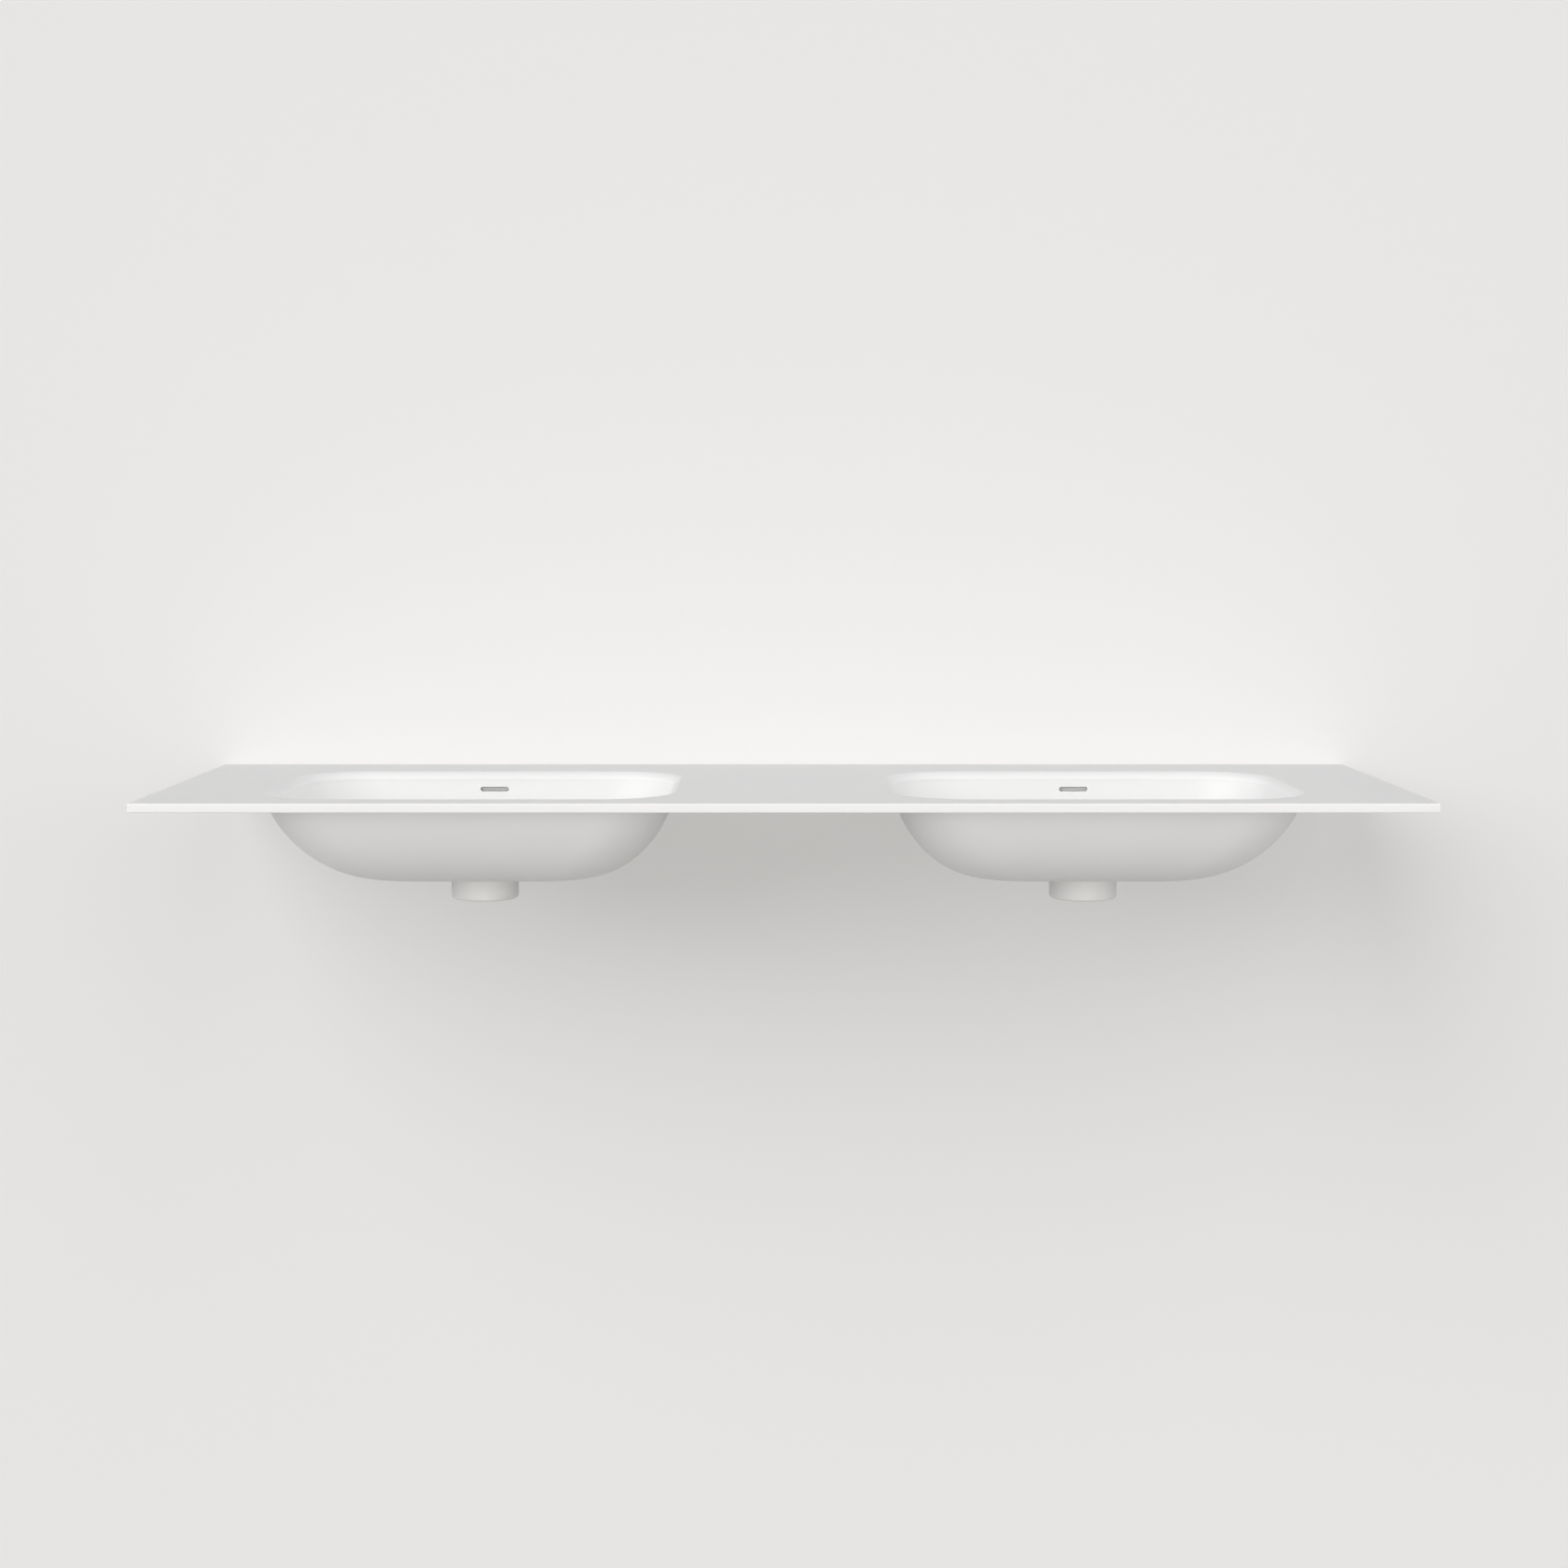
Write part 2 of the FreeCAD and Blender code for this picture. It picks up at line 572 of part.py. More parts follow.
def make_duct(side, middle):
    """The overflow duct: a flange on the bowl's boss, a flat pipe down and a foot into the port."""
    body = start_body(f"{side}_overflow_duct", middle)
    plate = wall_plate(body, "flange", "boss_width", "boss_height", "boss_corner", SEAT_Y)
    pad(body, plate, "duct_flange", backwards=True)
    spine = sketch_on(body, "spine", "YZ_Plane")
    top, foot = worth("-slot_drop"), worth(f"{FLOOR_Z} + {PORT_Z}")
    start, bend = worth(SEAT_Y), worth("duct_bend")
    turn = start + worth("duct_lead")
    end = worth(f"{DRAIN_Y} + (housing_radius + chamber_radius) / 2")
    quarter = 1.5707963267948966
    normal = Vector(0, 0, 1)
    upper = Part.Circle(Vector(turn, top - bend, 0), normal, bend)
    lower = Part.Circle(Vector(turn, foot + bend, 0), normal, bend)
    lead = spine.addGeometry(Part.LineSegment(Vector(start, top), Vector(turn, top)), False)
    elbow = spine.addGeometry(Part.ArcOfCircle(upper, 0, quarter), False)
    down = spine.addGeometry(
        Part.LineSegment(Vector(turn + bend, top - bend), Vector(turn + bend, foot + bend)), False
    )
    heel = spine.addGeometry(Part.ArcOfCircle(lower, -quarter, 0), False)
    spigot = spine.addGeometry(Part.LineSegment(Vector(turn, foot), Vector(end, foot)), False)
    for first, first_end, second, second_end in (
        (lead, 2, elbow, 2),
        (elbow, 1, down, 1),
        (down, 2, heel, 2),
        (heel, 1, spigot, 1),
    ):
        spine.addConstraint(Sketcher.Constraint("Tangent", first, first_end, second, second_end))
    spine.addConstraint(Sketcher.Constraint("Horizontal", lead))
    spine.addConstraint(Sketcher.Constraint("Vertical", down))
    spine.addConstraint(Sketcher.Constraint("Horizontal", spigot))
    spine.addConstraint(Sketcher.Constraint("Equal", elbow, heel))
    hold(spine, "Radius", "bend", "duct_bend", elbow)
    hold(spine, "DistanceX", "start", SEAT_Y, -1, 1, lead, 1)
    hold(spine, "DistanceY", "top", "-slot_drop", -1, 1, lead, 1)
    hold(spine, "DistanceX", "turn", f"{SEAT_Y} + duct_lead", -1, 1, lead, 2)
    hold(spine, "DistanceY", "foot", f"{FLOOR_Z} + {PORT_Z}", -1, 1, spigot, 2)
    hold(spine, "DistanceX", "end", f"{DRAIN_Y} + (housing_radius + chamber_radius) / 2", -1, 1, spigot, 2)
    for kind, name, shrink in (("AdditivePipe", "pipe", "0"), ("SubtractivePipe", "way", "2 * duct_wall")):
        width, thickness = f"(duct_width - {shrink})", f"(duct_thickness - {shrink})"
        section = wall_plate(body, name, width, thickness, "duct_wall", SEAT_Y)
        before = volume(body)
        pipe = body.newObject(f"PartDesign::{kind}", f"{body.Name}_{name}_sweep")
        pipe.Profile = section
        pipe.Spine = spine
        if volume(body) == before:
            raise RuntimeError(f"{pipe.Name} changes nothing")
    holes = screw_holes(body, "holes", "screw_radius + screw_clearance", SEAT_Y)
    pocket(body, holes, "duct_flange")


def make_gasket(side, middle):
    """The sheet gasket between the boss and the duct's flange."""
    body = start_body(f"{side}_overflow_gasket", middle)
    plate = wall_plate(body, "plate", "boss_width", "boss_height", "boss_corner", BOSS_Y)
    pad(body, plate, "gasket_thickness", backwards=True)
    way = "2 * duct_wall"
    opening = wall_plate(body, "way", f"(duct_width - {way})", f"(duct_thickness - {way})", "duct_wall", BOSS_Y)
    pocket(body, opening, "gasket_thickness")
    holes = screw_holes(body, "holes", "screw_radius + screw_clearance", BOSS_Y)
    pocket(body, holes, "gasket_thickness")


def make_screws(side, middle):
    """Two pan-head screws through the duct's flange into the boss."""
    screws = []
    for name, offset in (("inner", "-screw_pitch / 2"), ("outer", "screw_pitch / 2")):
        steps = []
        for step, radius, low, length in (
            ("head", "screw_head_radius", "duct_flange + screw_head_height", "screw_head_height"),
            ("shank", "screw_radius", "duct_flange", "screw_length"),
        ):
            rod = doc.addObject("Part::Cylinder", f"{side}_{name}_{step}")
            rod.Placement.Rotation = FreeCAD.Rotation(Vector(1, 0, 0), 90)
            bind(rod, "Radius", radius)
            bind(rod, "Height", length)
            bind(rod, "Placement.Base.x", offset)
            bind(rod, "Placement.Base.y", f"{SEAT_Y} + {low}")
            bind(rod, "Placement.Base.z", "-slot_drop")
            steps.append(rod)
        screw = doc.addObject("Part::Fuse", f"{side}_{name}_screw")
        screw.Base, screw.Tool = steps
        screws.append(screw)
    pair = doc.addObject("Part::Compound", f"{side}_overflow_screws")
    pair.Label = f"{side}_overflow_screws"
    pair.Links = screws
    bind(pair, "Placement.Base.x", middle)
    pieces.append(pair)


make_slab()
for side, middle in (("left", "-basin_pitch / 2"), ("right", "basin_pitch / 2")):
    drain = (middle, DRAIN_Y, FLOOR_Z)
    raised = (middle, DRAIN_Y, f"{FLOOR_Z} + plug_travel")
    make_bowl(side, middle)
    make_adhesive(side, middle)
    make_cover(side, middle)
    make_housing(side, drain)
    half_ring = "ring_width / 2"
    ring_low = "-bowl_floor - ring_thickness"
    ring(
        f"{side}_housing_seal",
        drain,
        f"ring_radius - {half_ring}",
        f"ring_radius + {half_ring}",
        ring_low,
        "-bowl_floor",
    )
    make_flange(side, drain)
    ring(
        f"{side}_flange_seal",
        drain,
        "neck_radius + neck_clearance + flange_clearance",
        "flange_radius",
        "-flange_recess",
        LIP_Z,
    )
    make_guide(side, drain)
    make_cartridge(side, drain)
    make_cap(side, raised)
    stem = start_body(f"{side}_plug_stem", *raised)
    disc(stem, "rod", "stem_radius", f"{STEM_TOP} - stem_length", STEM_TOP)
    ring(
        f"{side}_plug_seal",
        raised,
        "plug_seal_inner",
        "plug_seal_outer",
        f"{CAP_Z} - plug_seal_thickness",
        CAP_Z,
    )
    make_duct(side, middle)
    make_gasket(side, middle)
    make_screws(side, middle)

doc.recompute()
for item in doc.Objects:
    if "Invalid" in item.State or "Error" in item.State:
        raise RuntimeError(f"{item.Name} failed: {item.State}")
for piece in pieces:
    if piece.Shape.isNull() or not piece.Shape.isValid():
        raise RuntimeError(f"{piece.Label} has no valid shape")

os.makedirs("parts", exist_ok=True)
for piece in pieces:
    piece.Shape.exportStep(f"parts/{piece.Label}.step")
    print(piece.Label, len(piece.Shape.Solids), round(piece.Shape.Volume))
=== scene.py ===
import math

import bmesh
import bpy
import numpy as np
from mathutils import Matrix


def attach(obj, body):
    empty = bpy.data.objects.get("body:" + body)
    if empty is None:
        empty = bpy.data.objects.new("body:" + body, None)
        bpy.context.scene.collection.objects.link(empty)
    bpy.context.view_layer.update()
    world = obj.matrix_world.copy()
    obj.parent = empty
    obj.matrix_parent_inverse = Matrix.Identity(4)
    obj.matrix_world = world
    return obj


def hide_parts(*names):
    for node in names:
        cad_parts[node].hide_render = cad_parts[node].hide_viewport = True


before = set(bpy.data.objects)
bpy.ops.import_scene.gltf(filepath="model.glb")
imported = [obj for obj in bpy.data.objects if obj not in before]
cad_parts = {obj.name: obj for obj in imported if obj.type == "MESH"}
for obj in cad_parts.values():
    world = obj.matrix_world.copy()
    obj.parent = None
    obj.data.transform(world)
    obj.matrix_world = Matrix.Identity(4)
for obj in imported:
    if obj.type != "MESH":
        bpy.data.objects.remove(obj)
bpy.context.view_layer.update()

# A double sink vanity top: a thin sheet, two bowls bonded under rolled cut-outs, and under each
# bowl a drain housing with a stopper and an overflow duct. Sizes are in millimetres: +X runs along
# the sheet, +Y to the wall, +Z up from the sheet's underside.
MM = 1000  # millimetres in a metre
WELD = 2e-6  # metres within which two points become one

# The sheet
SHEET_HALF_WIDTH, SHEET_HALF_DEPTH, SHEET_THICKNESS = 700.0, 230.0, 10.0
SHEET_CORNER, TOP_ARRIS, UNDER_ARRIS = 2.5, 1.5, 1.0
EDGE_BAND, ROLL_BAND = 0.8, 2.0  # strips of the flat faces that keep the eased edges' shading off the rest
SHEET_CREASE, PIECE_CREASE = 17, 38  # degrees past which an edge is sharp

# Each basin: the outer edge of the roll, the roll itself, and the rebate for the bowl's rim
BASIN_X = 350.0
BASIN_HALF, BASIN_FRONT, BASIN_BACK, BASIN_CORNER = 229.0, -186.0, 136.0, 82.0
RIM_ROLL, ROLL_START = 9.0, 36.0
REBATE, REBATE_CLEARANCE, JOINT_THICKNESS, JOINT_SETBACK, JOINT_HOLLOW = 0.5, 0.4, 0.4, 0.4, 0.05

# Each bowl: a wall that narrows to a flat floor
BOWL_WALL, BOWL_POWER = 5.0, 1.44
BOWL_RIM = REBATE - JOINT_THICKNESS
BOWL_FLOOR, BOWL_FOOT = -88.5, -98.5
FLOOR_HALF, FLOOR_FRONT, FLOOR_BACK, FLOOR_CORNER = 110.0, -43.0, 64.0, 48.0

# Each overflow: the slot, its cover, the boss behind it, the duct and its screws
SLOT_Z, SLOT_HALF, SLOT_RISE, SLOT_CORNER, SLOT_LIP = -10.7, 17.0, 2.5, 2.45, 0.7
COVER_Y, COVER_THICKNESS, COVER_GAP, COVER_EASE = 129.0, 1.5, 0.6, 0.5
COVER_LEG, COVER_LEG_PITCH, COVER_FIT, LEG_CLOSED = 3.0, 20.0, 0.05, 1e-4
BOSS_Y, BOSS_HALF, BOSS_RISE, BOSS_CORNER, BOSS_EASE = 134.0, 31.0, 7.0, 4.0, 0.8
DUCT_SEAT, DUCT_FLANGE, DUCT_EASE, DUCT_FILLET = 136.0, 3.0, 0.6, 1.2
DUCT_LEAD, DUCT_BEND, DUCT_FOOT_Z, DUCT_END = 6.0, 10.0, -107.0, 56.1
DUCT_HALF, DUCT_RISE, DUCT_WALL = 21.0, 4.0, 1.5
SCREW_PITCH, SCREW_SHANK, SCREW_LENGTH, SCREW_POINT = 52.0, 1.9, 10.0, 0.6
SCREW_HEAD, SCREW_HEAD_RISE, SCREW_HEAD_FALL, SCREW_HEAD_POWER = 3.5, 2.5, 0.9, 2.5
CROSS_HALF, CROSS_REACH, CROSS_DEPTH, CROSS_SIDE_FADE, CROSS_END_FADE = 0.55, 2.0, 1.1, 0.2, 0.35

# Each drain, about an upright axis, with its levels taken from the bowl's floor and foot
DRAIN_Y = 21.5
FLANGE_RADIUS, FLANGE_LIP, FLANGE_RECESS, FLANGE_SEAL, FLANGE_CLEARANCE = 33.8, 2.0, 2.5, 1.0, 0.5
NECK_RADIUS, NECK_CLEARANCE, THREAD_RADIUS, THREAD_CLEARANCE = 29.0, 0.3, 25.0, 0.25
THROAT_RADIUS, THROAT_LEDGE, SEAT_CHAMFER = 22.0, 1.5, 3.5
HOUSING_RADIUS, HOUSING_HEIGHT, HOUSING_TOP = 39.2, 29.0, 3.5
CHAMBER_RADIUS, CHAMBER_HEIGHT = 30.0, 10.0
SOCKET_RADIUS, SOCKET_LEDGE, SOCKET_STOP, SOCKET_CHAMFER = 20.1, 2.1, 1.5, 1.5
LIP_FOOT = BOWL_FLOOR - FLANGE_RECESS + FLANGE_SEAL
LIP_TOP = LIP_FOOT + FLANGE_LIP
NECK_TOP = LIP_FOOT - 2 * FLANGE_LIP
SKIRT_END = BOWL_FOOT - HOUSING_TOP
CHAMBER_END = SKIRT_END - CHAMBER_HEIGHT
STOP_END = CHAMBER_END - SOCKET_STOP
HOUSING_END = BOWL_FOOT - HOUSING_HEIGHT

# Each stopper's cap, raised by the stopper's travel
CAP_RADIUS, CAP_EDGE, CAP_DOME, CAP_ROUND, CAP_SHOULDER = 31.0, 1.6, 2.6, 0.6, 0.2
CAP_GAP, PLUG_TRAVEL = 0.3, 8.0
CAP_BOSS, CAP_BOSS_DROP, STEM_SOCKET, STEM_SOCKET_DEPTH = 6.0, 4.3, 2.55, 3.0
CAP_FOOT = LIP_TOP + CAP_GAP + PLUG_TRAVEL
CAP_RIM = CAP_FOOT + CAP_EDGE
CAP_BOSS_FOOT = CAP_FOOT - CAP_BOSS_DROP

SIDES = (("left", -BASIN_X), ("right", BASIN_X))

# Steps of the grids: those of a basin's corners, its straight runs from the back one on, and the
# patch of its back wall that the overflow goes through
BEND, BASIN_RUNS = 24, (72, 24, 36, 24)
WINDOW_FIRST, WINDOW_ROWS, WINDOW_HALF = 5, 16, 12
WINDOW_MIDDLE = BEND + BASIN_RUNS[0] // 2
LINING_WINDOW, OUTSIDE_WINDOW = (-3.9, -17.9), (-1.1, -21.7)  # the patch's top and bottom levels


def quarter(count, start=0):
    """Angles in even steps from start to 90 degrees, in radians."""
    return np.radians(np.linspace(start, 90, count))


def outline(half, low, high, corner, runs=BASIN_RUNS, bend=BEND):
    """Rounded rectangles, one loop for each row of sizes, anticlockwise from the right side's top.

    Corner k is centre + corner * (cos t, sin t) with t from 90k to 90k + 90 degrees; the straight
    run after it is shared out evenly.
    """
    half, low, high, corner = np.broadcast_arrays(*np.atleast_1d(half, low, high, corner))
    turn = np.radians(np.arange(4)[:, None] * 90 + np.linspace(0, 90, bend + 1))
    side = half - corner
    middle_x = np.stack([side, -side, -side, side], -1)[..., None]
    middle_y = np.stack([high - corner, high - corner, low + corner, low + corner], -1)[..., None]
    reach = corner[:, None, None]
    arcs = np.stack([middle_x + reach * np.cos(turn), middle_y + reach * np.sin(turn)], -1)
    following = np.roll(arcs[:, :, 0], -1, axis=1)
    parts = []
    for k, run in enumerate(runs):
        share = (np.arange(1, run) / run)[:, None]
        parts += [arcs[:, k], arcs[:, k, -1:] * (1 - share) + following[:, k, None] * share]
    return np.concatenate(parts, axis=1)


def basin_sizes(inset):
    """The sizes of a basin's outline, drawn in from the roll's outer edge."""
    return BASIN_HALF - inset, BASIN_FRONT + inset, BASIN_BACK - inset, BASIN_CORNER - inset


def spaced(loop, count, start):
    """A closed loop at even steps of its length: its running length is found, then read at count places."""
    loop = np.roll(loop, -start, axis=0)
    closed = np.concatenate([loop, loop[:1]])
    length = np.concatenate([[0], np.cumsum(np.hypot(*np.diff(closed, axis=0).T))])
    at = np.arange(count) / count * length[-1]
    return np.stack([np.interp(at, length, closed[:, k]) for k in (0, 1)], -1)


def at_level(loops, level):
    """Flat loops (x, y) lifted to (x, y, level)."""
    height = np.broadcast_to(np.reshape(level, (-1, 1, 1)), loops.shape[:2] + (1,))
    return np.concatenate([loops, height], -1)


def at_depth(loops, depth):
    """Loops (x, z) about the overflow's level, stood up at (x, depth, z)."""
    depth = np.broadcast_to(np.reshape(depth, (-1, 1)), loops.shape[:2])
    return np.stack([loops[..., 0], depth, SLOT_Z + loops[..., 1]], -1)


def eased(corners, count):
    """A profile with its corners rounded: the curve (1-t)^2 A + 2t(1-t) P + t^2 B stands for corner P.

    Each corner is (r, z, ease); A and B lie that far from P along its two neighbours.
    """
    corners = np.array(corners, float)
    points, ease = corners[:, :2], corners[:, 2:]
    before = np.roll(points, 1, axis=0) - points
    after = np.roll(points, -1, axis=0) - points
    start = points + ease * before / np.linalg.norm(before, axis=1, keepdims=True)
    end = points + ease * after / np.linalg.norm(after, axis=1, keepdims=True)
    t = np.linspace(0, 1, count)[None, :, None]
    rounded = (1 - t) ** 2 * start[:, None] + 2 * t * (1 - t) * points[:, None] + t**2 * end[:, None]
    return rounded.reshape(-1, 2)


def turned(profile, x, count=128):
    """A profile (r, z) carried round the drain's axis: (x + r cos t, y + r sin t, z)."""
    t = np.linspace(0, 2 * np.pi, count, endpoint=False)
    radius, level = profile[:, :1], profile[:, 1:]
    return np.stack([x + radius * np.cos(t), DRAIN_Y + radius * np.sin(t), level + 0 * t], -1)


def grid_faces(rows, columns, wrap_rows, wrap_columns, first, keep):
    """Four-sided faces (i, j), (i, j+1), (i+1, j+1), (i+1, j) of a grid of points numbered from first."""
    i = np.arange(rows if wrap_rows else rows - 1)[:, None]
    j = np.arange(columns if wrap_columns else columns - 1)[None, :]
    below, beside = (i + 1) % rows, (j + 1) % columns
    corners = [i * columns + j, i * columns + beside, below * columns + beside, below * columns + j]
    faces = np.stack(corners, -1)
    faces = faces if keep is None else faces[keep]
    return faces.reshape(-1, 4) + first


def make_piece(name, grids, node, finish, body="vanity_top", crease=PIECE_CREASE):
    """One mesh from grids (points, wrap_rows, wrap_columns, keep), welded and faced outwards."""
    points, faces, first = [], [], 0
    for grid, wrap_rows, wrap_columns, keep in grids:
        rows, columns = grid.shape[:2]
        faces.append(grid_faces(rows, columns, wrap_rows, wrap_columns, first, keep))
        points.append(grid.reshape(-1, 3))
        first += rows * columns
    used, faces = np.unique(np.concatenate(faces), return_inverse=True)
    mesh = bpy.data.meshes.new(name)
    mesh.from_pydata(np.concatenate(points)[used] / MM, [], faces.reshape(-1, 4).tolist())
    shell = bmesh.new()
    shell.from_mesh(mesh)
    bmesh.ops.remove_doubles(shell, verts=shell.verts, dist=WELD)
    bmesh.ops.recalc_face_normals(shell, faces=shell.faces)
    shell.to_mesh(mesh)
    shell.free()
    mesh.polygons.foreach_set("use_smooth", np.ones(len(mesh.polygons), bool))
    mesh.set_sharp_from_angle(angle=math.radians(crease))
    mesh.materials.append(finish)
    piece = bpy.data.objects.new(name, mesh)
    bpy.context.scene.collection.objects.link(piece)
    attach(piece, body)
    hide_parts(node)
    return piece


# The finishes


def start_group(name, inputs, outputs):
    """An empty shader node group with plain value inputs and outputs, and its two end nodes."""
    group = bpy.data.node_groups.new(name, "ShaderNodeTree")
    for label, value in inputs:
        group.interface.new_socket(label, in_out="INPUT", socket_type="NodeSocketFloat").default_value = value
    for label in outputs:
        group.interface.new_socket(label, in_out="OUTPUT", socket_type="NodeSocketFloat")
    return group, group.nodes.new("NodeGroupInput"), group.nodes.new("NodeGroupOutput")


def put(tree, kind, links=(), **settings):
    """A node with its settings; each link is (socket to fill, socket or plain value)."""
    node = tree.nodes.new(kind)
    for key, value in settings.items():
        setattr(node, key, value)
    for socket, source in links:
        if isinstance(source, bpy.types.NodeSocket):
            tree.links.new(source, node.inputs[socket])
        else:
            node.inputs[socket].default_value = source
    return node


def sums(tree, operation, *values):
    """The result of one operation on sockets or plain values."""
    return put(tree, "ShaderNodeMath", list(enumerate(values)), operation=operation).outputs[0]


def noise(tree, scale, detail=2.0, roughness=0.5):
    """Noise on the piece's own coordinates, in cells to the metre."""
    place = put(tree, "ShaderNodeTexCoord").outputs["Object"]
    links = [("Vector", place), ("Scale", scale), ("Detail", detail), ("Roughness", roughness)]
    return put(tree, "ShaderNodeTexNoise", links).outputs[0]


def cast_group():
    """Cast mineral: a slow cloud in the tone, a fine speckle, and the long ripple of a sanded face."""
    group, given, taken = start_group("cast_mineral", [("Speckle", 0.3)], ["Cloud", "Wipe", "Ripple"])
    cloud = noise(group, scale=7.0, detail=4.0, roughness=0.55)
    speckle = sums(group, "SUBTRACT", noise(group, scale=1400.0, detail=1.0), 0.5)
    mixed = sums(group, "MULTIPLY_ADD", speckle, given.outputs["Speckle"], cloud)
    group.links.new(mixed, taken.inputs["Cloud"])
    group.links.new(noise(group, scale=24.0, detail=5.0, roughness=0.6), taken.inputs["Wipe"])
    ripple = sums(group, "MULTIPLY_ADD", noise(group, scale=420.0), 0.35, noise(group, scale=55.0))
    group.links.new(ripple, taken.inputs["Ripple"])
    return group


def moulded_group():
    """Moulded plastic or rubber: fine spark-eroded grain from the mould and a slow drift in gloss."""
    group, given, taken = start_group("mould_grain", [("Grain", 1500.0)], ["Grain", "Drift"])
    fine = noise(group, given.outputs["Grain"], detail=3.0, roughness=0.6)
    group.links.new(fine, taken.inputs["Grain"])
    group.links.new(noise(group, scale=40.0, detail=3.0), taken.inputs["Drift"])
    return group


def turned_group():
    """Lathe work: rings about the nearest drain's axis, sin(pitch * distance), broken up by noise."""
    group, given, taken = start_group("lathe_lay", [("Pitch", 9000.0)], ["Rings", "Smudge"])
    place = put(group, "ShaderNodeTexCoord").outputs["Object"]
    split = put(group, "ShaderNodeSeparateXYZ", [(0, place)])
    across = sums(group, "SUBTRACT", sums(group, "ABSOLUTE", split.outputs["X"]), BASIN_X / MM)
    along = sums(group, "SUBTRACT", split.outputs["Y"], DRAIN_Y / MM)
    square = sums(group, "MULTIPLY_ADD", across, across, sums(group, "MULTIPLY", along, along))
    wave = sums(group, "SINE", sums(group, "MULTIPLY", sums(group, "SQRT", square), given.outputs["Pitch"]))
    rings = sums(group, "MULTIPLY_ADD", wave, 0.5, 0.5)
    broken = sums(group, "MULTIPLY", rings, noise(group, scale=260.0, detail=3.0))
    group.links.new(broken, taken.inputs["Rings"])
    group.links.new(noise(group, scale=90.0, detail=4.0, roughness=0.6), taken.inputs["Smudge"])
    return group


CAST, MOULDED, TURNED = cast_group(), moulded_group(), turned_group()


def spread(tree, value, low, high):
    """A 0 to 1 value spread between two levels."""
    links = [("Value", value), ("To Min", low), ("To Max", high)]
    return put(tree, "ShaderNodeMapRange", links).outputs[0]


def tint(tree, value, dark, light):
    """A colour between two, as a value goes from 0.3 to 0.7, which is most of what noise gives."""
    ramp = put(tree, "ShaderNodeValToRGB", [(0, value)])
    for stop, colour, place in zip(ramp.color_ramp.elements, (dark, light), (0.3, 0.7)):
        stop.color, stop.position = (*colour, 1), place
    return ramp.outputs[0]


def make_finish(name, group, values, tone, dark, light, shine, gloss, relief, height, depth, **constants):
    """A finish on one group: its tone sets the colour, its shine the roughness, its relief the bump."""
    finish = bpy.data.materials.new(name)
    finish.use_nodes = True
    tree = finish.node_tree
    shader = tree.nodes["Principled BSDF"]
    effect = put(tree, "ShaderNodeGroup", node_tree=group)
    for label, value in values.items():
        effect.inputs[label].default_value = value
    tree.links.new(tint(tree, effect.outputs[tone], dark, light), shader.inputs["Base Color"])
    tree.links.new(spread(tree, effect.outputs[shine], *gloss), shader.inputs["Roughness"])
    links = [("Height", effect.outputs[relief]), ("Strength", height), ("Distance", depth)]
    tree.links.new(put(tree, "ShaderNodeBump", links).outputs[0], shader.inputs["Normal"])
    for label, value in constants.items():
        shader.inputs[label.replace("_", " ")].default_value = value
    return finish


def grey(level, warmth=0.0):
    """A grey of this level: the warmth is taken off its blue, and 0.4 of that off its green."""
    return (level, level - warmth * 0.4, level - warmth)


def paint_edge_light(finish, roll_highlight, edge_shade, roll_line=0.05, cut_line=0.3):
    """Paints light and shade onto the sheet's worked edges: the roll gets a painted highlight, the outer edge
    a little painted shade.

    The colour is scaled by 1 plus the highlight's level on the faces that lie roll_line clear of top and
    underside inside the outer edge, and by 1 less the shade's level within cut_line of the outer edge below
    its eased arris.
    """
    tree = finish.node_tree
    colour = tree.nodes["Principled BSDF"].inputs["Base Color"]
    place = put(tree, "ShaderNodeTexCoord").outputs["Object"]
    x, y, z = put(tree, "ShaderNodeSeparateXYZ", [(0, place)]).outputs

    def under(value, limit):
        """1 where a value in metres is under a limit in millimetres, else 0."""
        return sums(tree, "LESS_THAN", value, limit / MM)

    inside_x = under(sums(tree, "ABSOLUTE", x), SHEET_HALF_WIDTH - cut_line)
    inside_y = under(sums(tree, "ABSOLUTE", y), SHEET_HALF_DEPTH - cut_line)
    inside = sums(tree, "MULTIPLY", inside_x, inside_y)
    outside = sums(tree, "SUBTRACT", 1.0, inside)
    between = sums(tree, "SUBTRACT", under(z, SHEET_THICKNESS - roll_line), under(z, roll_line))
    # Painted light: the roll's faces are lightened as a painted highlight, the outer edge's faces greyed as
    # painted shade
    roll = sums(tree, "MULTIPLY", inside, between)
    cut = sums(tree, "MULTIPLY", outside, under(z, SHEET_THICKNESS - TOP_ARRIS))
    scale = sums(tree, "MULTIPLY_ADD", cut, -edge_shade, sums(tree, "MULTIPLY_ADD", roll, roll_highlight, 1.0))
    links = [(0, colour.links[0].from_socket), ("Scale", scale)]
    tree.links.new(put(tree, "ShaderNodeVectorMath", links, operation="SCALE").outputs[0], colour)
